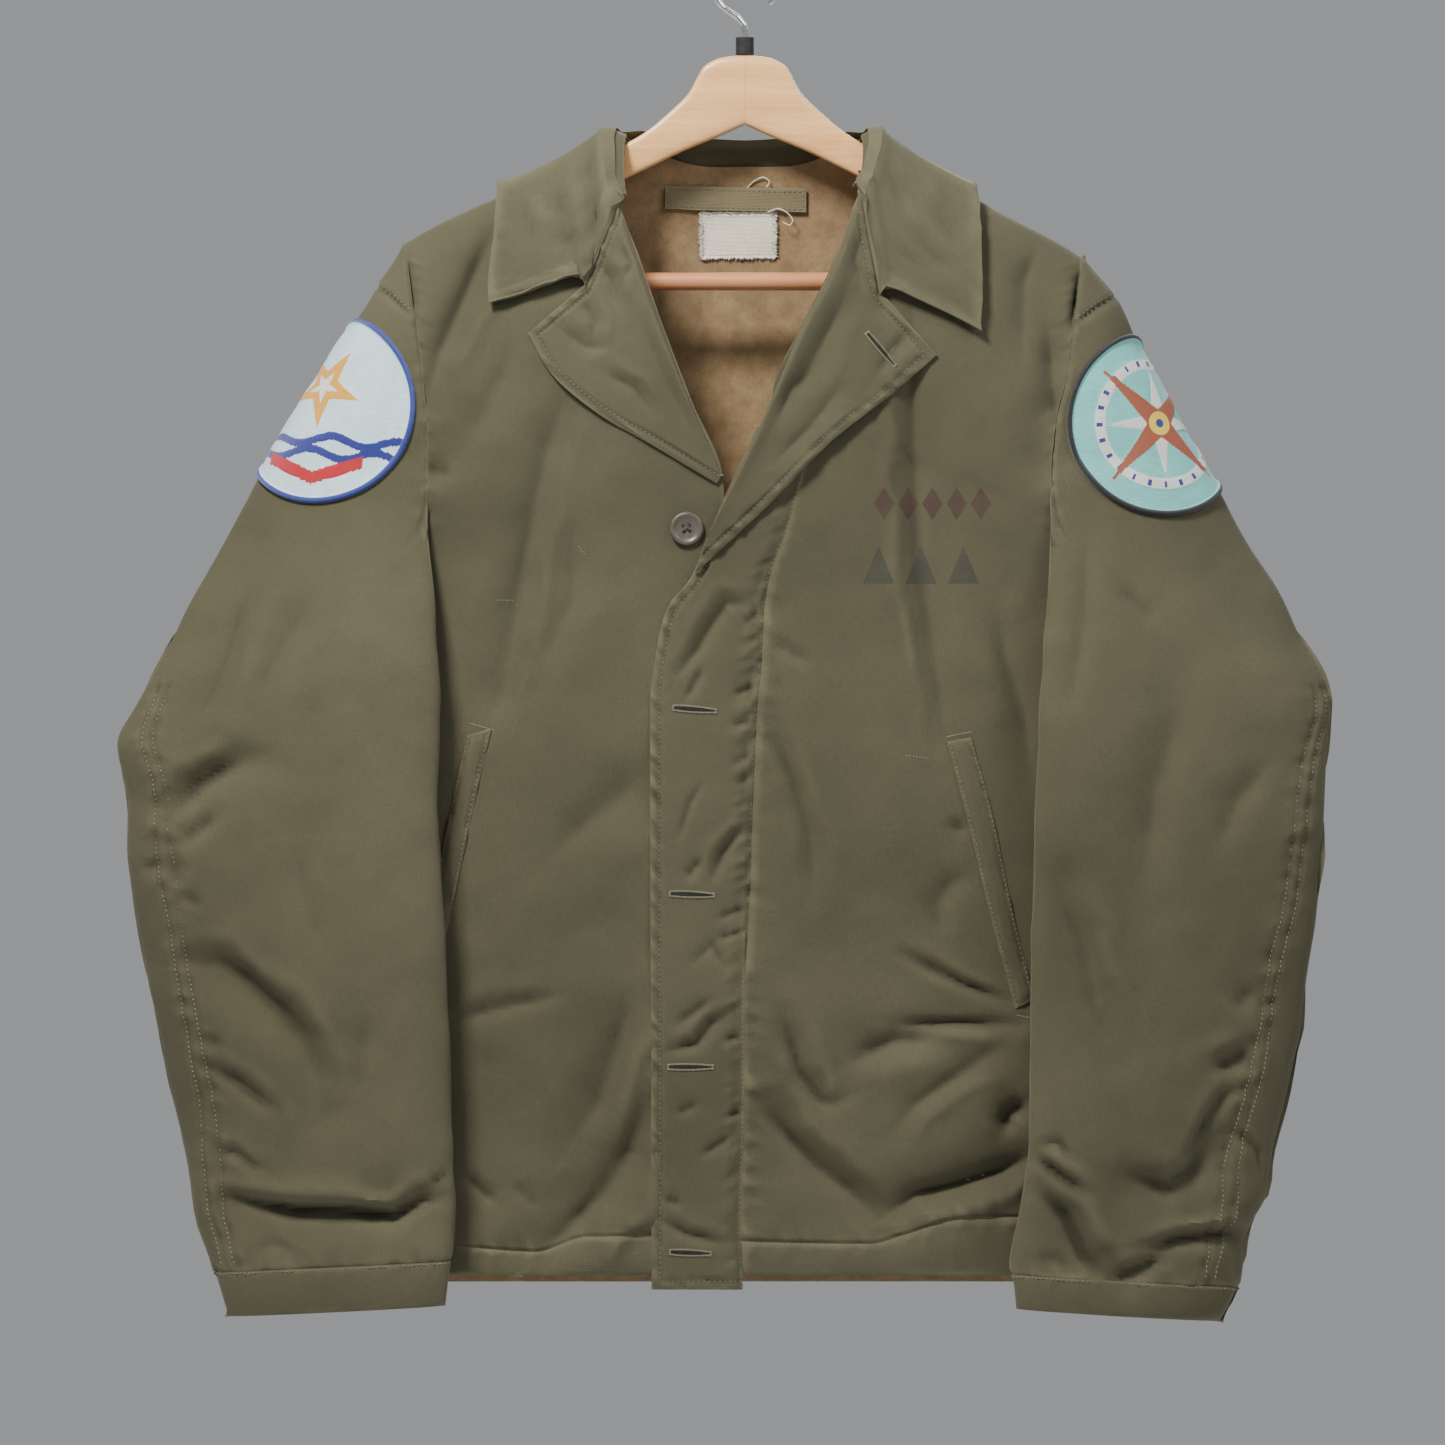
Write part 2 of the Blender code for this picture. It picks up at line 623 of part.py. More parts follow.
def sleeve_tilt(side, z, x):
    """How much lower the sleeve's outer fold hangs than its inner fold."""
    outer = table_mm(SLEEVE[side], z, 1)
    inner = table_mm(SLEEVE[side], z, 2)
    share = (abs(x) - inner) / (outer - inner)
    return CUFF[side][2] * MM * share * smooth_step((-460 * MM - z) / (300 * MM))


def sleeve_point(side, z, v):
    flat = sleeve_section(side, z, v)
    x = side * flat.x
    y = flat.y
    if v < 1:
        y += fold_depth(SLEEVE_FOLDS[side], x, z) * math.sin(v * math.pi)
    elif v < 2:
        y -= 0.6 * fold_depth(SLEEVE_FOLDS[side], x, z) * math.sin((v - 1) * math.pi)
    return Vector((x, y, z - sleeve_tilt(side, z, flat.x)))


def sleeve_rows(side):
    tip = TIP[side]
    rows = [tip + (UNDERARM - tip) * share for share in ARMHOLE_STEPS]
    rows += [z * MM for z in SLEEVE_STEPS]
    rows.append(CUFF[side][0] * MM)
    return rows


def sleeve_row(side, z, start, end, count):
    row = [sleeve_point(side, z, v) for v in np.linspace(start, end, count)]
    return row if side > 0 else row[::-1]


def seam_share(side, z, length):
    """Share v of a sleeve's wall that a gap of this length takes."""
    width = table_mm(SLEEVE[side], z, 1) - table_mm(SLEEVE[side], z, 2)
    return min(0.06, length / (1.2 * max(width, 10 * MM)))


def top_start(side, z):
    """Where the front wall starts: just off the armhole, or in front of the inner fold."""
    closed = table_mm(SLEEVE_DEPTH, z, 5) / MM
    bulge = max(table_mm(SLEEVE_DEPTH, z, 4), FOLD_OPEN)
    turn = math.asin(min(0.3, (FOLD_OPEN / bulge) ** 1.25)) / math.pi
    return (1 - closed) * seam_share(side, z, ARMHOLE_GAP / 2) + closed * turn


def build_sleeve_top(side, name, collection, cloth):
    rows = []
    for z in sleeve_rows(side):
        gap = seam_share(side, z, FELL_GAP)
        rows.append(sleeve_row(side, z, top_start(side, z), FELLED_SEAM - gap, TOP_COLUMNS))
    solid_from_grid(name, rows, cloth, WALL, collection)


def build_sleeve_under(side, name, collection, cloth):
    """Back wall of the sleeve, and below the underarm the layer that lies on the body."""
    mesh = bpy.data.meshes.new(name)
    bm = bmesh.new()
    rows = sleeve_rows(side)
    back_wall = []
    layer = []
    for z in rows:
        start = FELLED_SEAM + seam_share(side, z, FELL_GAP)
        shares = np.linspace(start, 2, UNDER_COLUMNS)
        back_wall.append([bm.verts.new(sleeve_point(side, z, v)) for v in shares])
        if z > LAYER_TOP:
            layer.append(None)
            continue
        line = [bm.verts.new(sleeve_point(side, z, v)) for v in np.linspace(2.0001, 2.97, LAYER_COLUMNS)]
        if z <= UNDERARM:
            bm.verts.remove(line[0])
            line[0] = back_wall[-1][-1]
        layer.append(line)
    for lines in (back_wall, layer):
        for upper, lower in zip(lines, lines[1:]):
            if upper is None:
                continue
            for i in range(len(upper) - 1):
                loop = (upper[i], lower[i], lower[i + 1], upper[i + 1])
                bm.faces.new(loop if side > 0 else loop[::-1])
    bm.to_mesh(mesh)
    bm.free()
    item = bpy.data.objects.new(name, mesh)
    add_to(collection, item, cloth)
    thick = item.modifiers.new("Wall", "SOLIDIFY")
    thick.thickness = WALL
    thick.offset = -1.0
    mesh.shade_smooth()


def build_cuff(side, name, collection, cloth):
    seam, edge, _ = CUFF[side]
    rows = []
    for z in (seam * MM - CUFF_GAP, (seam + edge) / 2 * MM, edge * MM):
        turn = [sleeve_point(side, z, v) for v in np.linspace(0, 2, 19)]
        turn += [sleeve_point(side, z, v) for v in np.linspace(2, 3, 8)[1:-1]]
        rows.append(turn if side > 0 else turn[::-1])
    solid_from_grid(name, rows, cloth, WALL, collection, closed=True)


def build_welt(side, name, collection, cloth):
    rows = []
    for along in np.linspace(0, 1, 7):
        inner = Vector((read_table(WELT[side], along, 1), read_table(WELT[side], along, 2)))
        outer = Vector((read_table(WELT[side], along, 3), read_table(WELT[side], along, 4)))
        row = [moved_out(front_point, *(inner.lerp(outer, s) * MM), WELT_LIFT + THIN_WALL * 0.2)
               for s in (0.0, 0.5, 1.0)]
        rows.append(row if side > 0 else row[::-1])
    solid_from_grid(name, rows, cloth, THIN_WALL, collection)


def find_on_sleeve(side, x, z):
    """v of the front wall's point with this x, found by halving."""
    low, high = 0.0, 1.0
    for _ in range(24):
        middle = (low + high) / 2
        if sleeve_section(side, z, middle).x < abs(x):
            low = middle
        else:
            high = middle
    return (low + high) / 2


def sleeve_slopes(side, v, z):
    """How the sleeve's surface runs per unit of v and of z at one place."""
    dv = 0.004
    dz = 0.5 * MM
    along = (sleeve_point(side, z, v + dv) - sleeve_point(side, z, v - dv)) / (2 * dv)
    down = (sleeve_point(side, z + dz, v) - sleeve_point(side, z - dz, v)) / (2 * dz)
    return along, down


def sleeve_out(side, v, z, lift):
    """Point of the sleeve moved out of its tube along the normal."""
    along, down = sleeve_slopes(side, v, z)
    normal = along.cross(down).normalized()
    here = sleeve_point(side, z, v)
    middle = (table_mm(SLEEVE[side], z, 1) + table_mm(SLEEVE[side], z, 2)) / 2
    core = Vector((side * middle, table_mm(SLEEVE_DEPTH, z, 2), here.z))
    if normal.dot(here - core) < 0:
        normal = -normal
    return here + normal * lift


def patch_centre(side):
    """v, z of the disc's middle: one radius along the cloth from the edge that shows."""
    x, z, reach = PATCH[side]
    v = find_on_sleeve(side, (abs(x) - reach) * MM, z * MM)
    left = reach * MM
    while left > 0:
        along, _ = sleeve_slopes(side, v, z * MM)
        v += 1.0 * MM / along.length
        left -= 1.0 * MM
    return v, z * MM


def patch_ray(side, angle, radii):
    """Points of the disc along one ray, walked over the sleeve's surface from its middle."""
    v, z = patch_centre(side)
    along, down = sleeve_slopes(side, v, z)
    first = along.normalized()
    second = (down - first * down.dot(first)).normalized()
    heading = first * math.cos(angle) + second * math.sin(angle)
    points = []
    walked = 0.0
    for radius in radii:
        steps = max(1, math.ceil((radius - walked) / (3 * MM)))
        step = (radius - walked) / steps
        for _ in range(steps):
            along, down = sleeve_slopes(side, v, z)
            aa, ad, dd = along.dot(along), along.dot(down), down.dot(down)
            ta, td = heading.dot(along) * step, heading.dot(down) * step
            v += (ta * dd - td * ad) / (aa * dd - ad * ad)
            z += (td * aa - ta * ad) / (aa * dd - ad * ad)
            normal = along.cross(down).normalized()
            heading = (heading - normal * heading.dot(normal)).normalized()
        walked = radius
        points.append(sleeve_out(side, v, z, PATCH_LIFT))
    return points


def build_patch(side, name, collection, cloth):
    mesh = bpy.data.meshes.new(name)
    bm = bmesh.new()
    centre = bm.verts.new(sleeve_out(side, *patch_centre(side), PATCH_LIFT))
    radii = [PATCH[side][2] * MM * (k + 1) / PATCH_RINGS for k in range(PATCH_RINGS)]
    rays = [patch_ray(side, 2 * math.pi * j / PATCH_SIDES, radii) for j in range(PATCH_SIDES)]
    rings = [[bm.verts.new(ray[k]) for ray in rays] for k in range(PATCH_RINGS)]
    for j in range(PATCH_SIDES):
        n = (j + 1) % PATCH_SIDES
        bm.faces.new((centre, rings[0][j], rings[0][n]))
        for small, large in zip(rings, rings[1:]):
            bm.faces.new((small[j], large[j], large[n], small[n]))
    bm.normal_update()
    bm.faces.ensure_lookup_table()
    if bm.faces[0].normal.dot(Vector((side, -1, 0))) < 0:
        bmesh.ops.reverse_faces(bm, faces=bm.faces)
    bm.to_mesh(mesh)
    bm.free()
    item = bpy.data.objects.new(name, mesh)
    add_to(collection, item, cloth)
    thick = item.modifiers.new("Wall", "SOLIDIFY")
    thick.thickness = PATCH_WALL
    thick.offset = -1.0
    mesh.shade_smooth()


def build_neck_piece(name, size, wall, lift, columns, collection, cloth):
    """Tape or label that lies on the lining's inner face in the neck."""
    x0, z0, half_w, half_h, tilt = size
    rows = []
    for t in (1.0, 0.0, -1.0):
        row = []
        for s in np.linspace(-1, 1, columns):
            x = (x0 + s * half_w) * MM
            z = (z0 + t * half_h - tilt * s * half_w) * MM
            depth = LINING_INSET + LINING_WALL + lift
            row.append(moved_out(back_point, x, z, -depth))
        rows.append(row)
    solid_from_grid(name, rows, cloth, wall, collection)


def loft_arm(side, name, collection, wood):
    """Half of the hanger: oval sections swept from the middle joint to the shoulder's end."""
    mesh = bpy.data.meshes.new(name)
    bm = bmesh.new()
    rings = []
    for x, top, low, thick, y in HANGER_ARM:
        drop = ARM_DROP[side] * smooth_step((x - 60) / 60)
        middle = (top + low) / 2 * MM - drop
        high = (top - low) / 2 * MM
        ring = []
        for k in range(ARM_SIDES):
            angle = 2 * math.pi * (k + 0.5) / ARM_SIDES
            c = math.cos(angle)
            s = math.sin(angle)
            oval_y = math.copysign(abs(c) ** 0.9, c) * thick * MM
            oval_z = math.copysign(abs(s) ** 0.9, s) * high
            ring.append(bm.verts.new((side * x * MM, y * MM + oval_y, middle + oval_z)))
        rings.append(ring)
    for a, b in zip(rings, rings[1:]):
        for k in range(ARM_SIDES):
            n = (k + 1) % ARM_SIDES
            loop = (a[k], a[n], b[n], b[k])
            bm.faces.new(loop if side > 0 else loop[::-1])
    bm.faces.new(rings[0][::-1] if side > 0 else rings[0])
    bm.faces.new(rings[-1] if side > 0 else rings[-1][::-1])
    bmesh.ops.recalc_face_normals(bm, faces=bm.faces)
    bm.to_mesh(mesh)
    bm.free()
    item = bpy.data.objects.new(name, mesh)
    add_to(collection, item, wood)
    mesh.shade_smooth()
    return item


def build_hanger(collection, cutters, wood, chrome, black):
    for side, name in ((-1, "hanger_arm_right"), (1, "hanger_arm_left")):
        arm = loft_arm(side, name, collection, wood)
        socket = add_cylinder("socket_" + name, BAR_RADIUS + 0.3 * MM, BAR_SOCKET_LENGTH, cutters, wood)
        socket.rotation_euler = (0, math.radians(90), 0)
        socket.location = (side * (BAR_SOCKET - BAR_SOCKET_LENGTH / 2), 0, BAR_HEIGHT)
        socket.hide_render = True
        socket.display_type = "WIRE"
        cut = arm.modifiers.new("Bar socket", "BOOLEAN")
        cut.object = socket
        cut.solver = "EXACT"
    bar = add_cylinder("hanger_bar", BAR_RADIUS, 2 * BAR_REACH, collection, wood)
    bar.rotation_euler = (0, math.radians(90), 0)
    bar.location = (0, 0, BAR_HEIGHT)
    ferrule = add_cylinder("hook_collar", FERRULE_RADIUS, FERRULE_TOP - FERRULE_BOTTOM, collection, black)
    ferrule.location = (0, 3 * MM, (FERRULE_TOP + FERRULE_BOTTOM) / 2)
    bore = add_cylinder("bore_hook_collar", WIRE + 0.3 * MM, 8 * MM, cutters, black)
    bore.location = (0, 3 * MM, FERRULE_TOP)
    bore.hide_render = True
    bore.display_type = "WIRE"
    hole = ferrule.modifiers.new("Wire bore", "BOOLEAN")
    hole.object = bore
    hole.solver = "EXACT"
    build_hook(collection, chrome)


def add_cylinder(name, radius, length, collection, look):
    mesh = bpy.data.meshes.new(name)
    bm = bmesh.new()
    bmesh.ops.create_cone(bm, cap_ends=True, segments=24, radius1=radius, radius2=radius, depth=length)
    bm.to_mesh(mesh)
    bm.free()
    item = bpy.data.objects.new(name, mesh)
    add_to(collection, item, look)
    mesh.shade_smooth()
    mesh.set_sharp_from_angle(angle=math.radians(40))
    return item


def build_hook(collection, chrome):
    """Wire bent like a question mark: up from the collar, round the bearing point, to a free end."""
    y = 3 * MM
    centre_z = WIRE - HOOK_RADIUS
    points = [(0, HOOK_FOOT), (0, -45 * MM), (-0.6 * MM, -41 * MM), (-4.5 * MM, -36.5 * MM)]
    steps = 26
    for k in range(steps + 1):
        angle = HOOK_START + (HOOK_END - HOOK_START) * k / steps
        points.append((HOOK_RADIUS * math.cos(angle), centre_z + HOOK_RADIUS * math.sin(angle)))
    curve = bpy.data.curves.new("hanger_hook", "CURVE")
    curve.dimensions = "3D"
    curve.bevel_depth = WIRE
    curve.bevel_resolution = 2
    curve.use_fill_caps = True
    line = curve.splines.new("POLY")
    line.points.add(len(points) - 1)
    for item, (x, z) in zip(line.points, points):
        lean = y * smooth_step((-20 * MM - z) / (25 * MM))
        item.co = (x, lean, z, 1.0)
    wire = bpy.data.objects.new("hanger_hook", curve)
    add_to(collection, wire, chrome)


def build_button(collection, cutters, horn):
    """Coat button: a turned disc with a raised rim and four holes, flat against the right front."""
    profile = ((0.0, -0.5), (0.86, -0.5), (1.0, -0.2), (1.0, 0.3), (0.92, 0.5), (0.72, 0.5), (0.66, 0.28), (0.0, 0.22))
    mesh = bpy.data.meshes.new("button")
    bm = bmesh.new()
    verts = [bm.verts.new((r * BUTTON_RADIUS, 0, h * BUTTON_THICKNESS)) for r, h in profile[::-1]]
    for a, b in zip(verts, verts[1:]):
        bm.edges.new((a, b))
    bm.to_mesh(mesh)
    bm.free()
    button = bpy.data.objects.new("button", mesh)
    add_to(collection, button, horn)
    turned = button.modifiers.new("Turned", "SCREW")
    turned.steps = 20
    turned.render_steps = 20
    turned.use_merge_vertices = True
    turned.merge_threshold = 0.00005
    x, z = BUTTON_AT
    at = moved_out(front_point, x, z, BUTTON_THICKNESS / 2 + LAYER_GAP)
    slope = at - front_point(x, z)
    button.rotation_euler = slope.to_track_quat("Z", "X").to_euler()
    button.location = at
    for k in range(4):
        angle = math.radians(45 + 90 * k)
        hole = add_cylinder("button_hole_%d" % k, BUTTON_HOLE, 8 * MM, cutters, horn)
        hole.parent = button
        hole.location = (BUTTON_HOLE_SPREAD * math.cos(angle), BUTTON_HOLE_SPREAD * math.sin(angle), 0)
        hole.hide_render = True
        hole.display_type = "WIRE"
        cut = button.modifiers.new("Hole", "BOOLEAN")
        cut.object = hole
        cut.solver = "EXACT"


def main():
    clear_scene()
    scene = bpy.context.scene
    parts = bpy.data.collections.new("deck_jacket")
    cutters = bpy.data.collections.new("cutters")
    scene.collection.children.link(parts)
    scene.collection.children.link(cutters)

    olive = material("olive cotton", OLIVE)
    wool = material("brown wool", BROWN_WOOL)
    wood = material("varnished wood", WOOD, 0.4)
    tape = material("olive tape", (0.10, 0.09, 0.045))
    label = material("blank label", PALE)
    horn = material("button", (0.10, 0.085, 0.07), 0.35)
    chrome = material("chrome wire", (0.8, 0.8, 0.8), 0.15, 1.0)
    black = material("black collar", (0.02, 0.02, 0.02), 0.4)
    blue = material("right patch", (0.6, 0.75, 0.85))
    aqua = material("left patch", (0.25, 0.65, 0.6))

    build_front(-1, "front_right", "hem_front_right", parts, olive)
    build_front(1, "front_left", "hem_front_left", parts, olive)
    build_back(parts, olive, wool)
    build_placket(parts, olive)
    build_lapel(-1, "lapel_right", parts, olive)
    build_lapel(1, "lapel_left", parts, olive)
    build_collar(parts, olive)
    for side, word in ((-1, "right"), (1, "left")):
        build_sleeve_top(side, "sleeve_top_" + word, parts, olive)
        build_sleeve_under(side, "sleeve_under_" + word, parts, olive)
        build_cuff(side, "cuff_" + word, parts, olive)
        build_welt(side, "pocket_welt_" + word, parts, olive)
    build_patch(-1, "patch_right", parts, blue)
    build_patch(1, "patch_left", parts, aqua)
    build_neck_piece("hanger_loop", LOOP_TAPE, 1.2 * MM, NECK_LIFT, 9, parts, tape)
    build_neck_piece("label", LABEL, 1.0 * MM, NECK_LIFT, 5, parts, label)
    build_button(parts, cutters, horn)
    build_hanger(parts, cutters, wood, chrome, black)


main()
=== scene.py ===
"""Looks of the deck jacket: fine cloth with its creases, sewing, patches, hanger, light and camera.

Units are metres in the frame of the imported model; the short tables are in millimetres. "right" and
"left" are the wearer's, so the right side has negative X, and the front looks along -Y.
"""

import math

import bmesh
import bpy
import numpy as np
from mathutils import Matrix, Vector


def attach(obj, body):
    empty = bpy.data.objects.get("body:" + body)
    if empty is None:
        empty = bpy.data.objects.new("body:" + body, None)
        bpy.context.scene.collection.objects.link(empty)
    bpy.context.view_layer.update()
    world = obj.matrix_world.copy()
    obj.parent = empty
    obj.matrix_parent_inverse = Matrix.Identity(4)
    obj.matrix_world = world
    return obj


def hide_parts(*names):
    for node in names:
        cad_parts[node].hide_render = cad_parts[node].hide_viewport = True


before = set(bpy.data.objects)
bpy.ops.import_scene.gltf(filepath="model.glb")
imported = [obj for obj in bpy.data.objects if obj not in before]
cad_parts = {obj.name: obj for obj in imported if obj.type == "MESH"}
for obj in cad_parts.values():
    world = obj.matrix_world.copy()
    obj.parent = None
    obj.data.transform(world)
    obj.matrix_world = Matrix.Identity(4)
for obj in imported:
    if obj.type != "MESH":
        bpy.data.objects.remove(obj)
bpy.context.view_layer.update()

MM = 0.001
WALL = 1.6 * MM
THIN_WALL = 1.2 * MM
LINING_WALL = 1.0 * MM
LINING_INSET = 2.4 * MM
ARMHOLE_GAP = 1.2 * MM
LAYER_GAP = 0.7 * MM
FRONT_DEPTH = 45 * MM
BACK_DEPTH = 40 * MM
SHOULDER_DROP = 160 * MM
SIDE_POWER = 6.0
HEM_FRONT = -794 * MM
HEM_BACK = -802 * MM
HEM_BAND = 18 * MM
UNDERARM = -400 * MM

# columns: x, z along the top of the shoulders
RIDGE = (
    (-205, -173), (-184, -161), (-158, -149), (-141, -142), (-100, -122), (-75, -110),
    (-40, -98), (0, -92), (40, -98), (75, -111), (100, -124), (128, -139), (143, -148),
    (167, -161), (192, -174), (203, -181),
)
# columns: z, half width of the body
BODY_WIDTH = ((-173, 300), (-300, 280), (-367, 262), (-400, 252), (-420, 256), (-450, 262), (-810, 262))
# columns: z, distance of the armhole seam from the middle, for each side
ARMHOLE = {
    -1: ((-173, 205), (-209, 200), (-235, 196), (-259, 193), (-283, 191), (-320, 190.5),
         (-341, 194), (-367, 212), (-388, 236), (-400, 251.5)),
    1: ((-181, 203), (-209, 199.5), (-231, 196.5), (-257, 193), (-283, 187), (-317, 184),
        (-341, 188), (-367, 208), (-388, 235), (-400, 251.5)),
}
TIP = {-1: -173 * MM, 1: -181 * MM}
# columns: z, x of the edge of each front
FRONT_EDGE = {
    -1: ((-108, -77), (-140, -77), (-184, -63), (-222, -50), (-269, -32), (-317, -13), (-345, -12),
         (-810, -12)),
    1: ((-108, 75), (-136, 71), (-157, 65), (-188, 52), (-222, 35), (-262, 17), (-273, 16),
        (-292, 40), (-317, 33.5), (-350, 24.5), (-372, 15.5), (-394, 11.5), (-431, 9.5), (-449, 7.5),
        (-569, 2.5), (-629, -0.5), (-701, -0.5), (-760, -2.5), (-810, 0)),
}
# columns: z, x of the free edge of the placket
PLACKET_EDGE = (
    (-278, 9.5), (-290, 5), (-322, -10), (-350, -22), (-376, -33), (-392, -46), (-407, -51),
    (-431, -55), (-449, -57), (-810, -56),
)
PLACKET_TOP = -285 * MM
PLACKET_LIFT = 2.5 * MM
PLACKET_RISE = 11 * MM
# columns: z, distances of the outer and the inner outline from the middle
SLEEVE = {
    -1: ((-173, 206, 205), (-185, 212, 203), (-197, 221, 201.5), (-209, 228, 200), (-235, 246, 196),
         (-259, 260, 193), (-283, 275, 191), (-317, 295, 190.5), (-341, 308, 190.5), (-389, 334, 186),
         (-425, 351, 184), (-449, 364, 183), (-476, 377, 183), (-509, 371, 184), (-545, 370, 182),
         (-581, 365, 181), (-629, 355, 178), (-665, 348, 176), (-701, 339, 175.5), (-725, 334, 175),
         (-749, 330, 173), (-773, 322, 174), (-791, 316, 177), (-818, 308, 180)),
    1: ((-181, 204, 203), (-189, 210, 202), (-197, 216, 201), (-209, 225, 199.5), (-231, 237, 196.5),
        (-257, 251, 193), (-283, 265, 187), (-317, 283, 184), (-353, 302, 183), (-389, 324, 181),
        (-413, 336, 179), (-437, 349, 178), (-449, 352, 177), (-485, 349, 175.5), (-533, 347, 173),
        (-569, 344, 172), (-605, 338, 171), (-641, 334, 171), (-677, 327, 170), (-713, 317, 170),
        (-737, 313, 167), (-761, 301, 163), (-785, 298, 158), (-800, 292, 161), (-824, 278, 163)),
}
# columns: z, y of the inner fold, y of the outer fold, y of the back, bulge of the front, share of a lens
SLEEVE_DEPTH = (
    (-173, 0, 0, 0, 0, 0), (-300, -43, -2, 35, 4, 0), (-341, -47, -5, 32, 9, 0.35),
    (-367, -53, -9, 26, 14, 0.65), (-388, -58, -13, 12, 17, 0.85), (-400, -60, -15, -4, 18, 0.92),
    (-415, -62, -18, -20, 19, 1), (-440, -64, -24, -31, 20, 1), (-500, -65, -30, -34, 21, 1),
    (-700, -66, -34, -36, 20, 1), (-824, -66, -36, -38, 19, 1),
)
SLEEVE_REST = 7 * MM
# columns: z of the cuff's seam, z of its edge, how much lower its outer end hangs
CUFF = {-1: (-784, -811, 8), 1: (-792, -813, 9)}
# columns: share along the roll, x, z of the roll, x, z of the outer edge
LAPEL = {
    -1: ((0.00, -75.5, -150, -130, -229), (0.25, -66, -178, -117, -252), (0.50, -52, -218, -88, -277),
         (0.75, -35, -264, -52, -298), (1.00, -14, -314, -17, -319)),
    1: ((0.00, 69, -140, 115, -242), (0.25, 55, -182, 88, -265), (0.50, 34, -226, 54, -292),
        (0.75, 7, -288, 12, -334), (1.00, -22, -350, -30, -373)),
}
# columns: x, z of the notch
NOTCH = {-1: (-96, -200), 1: (81, -204)}
LAPEL_LIFT = 2.4 * MM
LAPEL_ROLL = 4.5 * MM
# columns: x and distance below the ridge of the neck seam, the roll and the outer edge, and the roll's
# height; a distance in front of the ridge is negative
COLLAR = (
    (-71, -38, -77.5, -33, -152, -66, 4.4), (-72.5, -24, -80, -19, -153, -50, 5.4),
    (-72.5, -9, -80, -6, -150, -22, 7.4), (-70.5, 2, -77, 1, -147, 2, 8),
    (-63, 10, -66, 3, -132, 38, 6.4), (-40, 28, -42, 12, -82, 82, 5.4),
    (0, 38, 0, 21, 0, 104, 5.4), (40, 28, 41, 12, 80, 82, 5.4),
    (62, 11, 65, 3, 128, 38, 6.4), (69.5, 2, 74, 1, 137, 2, 8),
    (71, -9, 76, -6, 140, -22, 7.4), (70, -22, 74, -17, 142, -56, 5.4),
    (65, -34, 70, -29, 141, -82, 4.4),
)
COLLAR_NOTCH = ((-93, -73), (79.5, -85))
GORGE = 0.38
COLLAR_LIFT = 4.4 * MM
# columns: share down, x, z of the inner edge, x, z of the outer edge
WELT = {
    -1: ((0.0, -152, -466, -167, -470), (0.35, -162, -509, -177, -514), (0.7, -174, -566, -188, -570),
         (1.0, -186, -622, -200, -626)),
    1: ((0.0, 121, -474, 136, -471), (0.35, 134, -523, 150, -523), (0.7, 146, -574, 161, -576),
        (1.0, 162, -634, 174, -628)),
}
WELT_LIFT = 1.6 * MM
# Slow folds, columns: width, depth, points x, z
BODY_FOLDS = (
    (16, 5, ((-150, -175), (-168, -215), (-180, -262), (-176, -300))),
    (15, 5, ((178, -200), (184, -245), (180, -300))),
    (18, 4, ((-86, -650), (-94, -700), (-106, -745), (-126, -778))),
    (18, 4, ((30, -700), (55, -732), (90, -760))),
    (18, 4, ((160, -724), (128, -740), (92, -756))),
    (20, 3, ((104, -280), (106, -360), (118, -440))),
    (20, 3, ((-112, -300), (-126, -370), (-146, -440))),
)
SLEEVE_FOLDS = {
    -1: ((16, 5, ((-345, -512), (-322, -494), (-295, -484))),
         (16, 5, ((-325, -606), (-292, -622), (-262, -655), (-250, -690))),
         (16, 5, ((-305, -750), (-250, -757), (-190, -748))),
         (20, 3, ((-300, -360), (-325, -420), (-335, -465)))),
    1: ((18, 4, ((188, -560), (204, -620), (224, -655))),
        (15, 5, ((232, -738), (262, -740), (284, -712))),
        (14, 4, ((180, -735), (200, -772), (225, -790))),
        (20, 3, ((262, -440), (240, -510), (238, -570)))),
}
# columns: x, z of the middle, radius
PATCH = {-1: (-257, -273, 59), 1: (251, -282.6, 57.5)}
BUTTON_AT = (-35 * MM, -346 * MM)
BUTTON_RADIUS = 10.2 * MM
BUTTON_THICKNESS = 3.2 * MM
BUTTON_HOLE = 1.1 * MM
BUTTON_HOLE_SPREAD = 2.6 * MM
# columns: x, z of the middle, half width, half height, tilt
LOOP_TAPE = (-5.5, -144, 43, 7, 0.02)
LABEL = (-4, -166, 23, 14, -0.01)
TAPE_LIFT = 2.2 * MM
LABEL_LIFT = 0.9 * MM
# columns: x, z of the top, z of the underside, half thickness, y of the middle
ARM_BOARD = (
    (0.06, -59, -101.5, 7.5, 3), (12, -60, -107, 7.5, 3), (24, -65, -112, 7.5, 3), (34, -82, -116, 7.5, 3),
    (45, -93, -121, 7.5, 2.5), (59, -105, -128, 7, 1), (76, -115, -136, 7, 0), (105, -129.5, -149, 7, -0.5),
    (141, -147.5, -166, 7, -1), (170, -160, -183, 7.5, -1), (190, -172, -198, 8, -1),
    (202.5, -182, -207, 8, -1), (208, -189, -205, 7, -1),
)
ARM_DROP = {-1: 0.0, 1: 5 * MM}
BAR_RADIUS = 5.5 * MM
BAR_HEIGHT = -196 * MM
BAR_REACH = 201 * MM
WIRE = 2.0 * MM
HOOK_RADIUS = 19 * MM
HOOK_START = math.radians(225)
HOOK_END = math.radians(-38)
HOOK_FOOT = -52 * MM

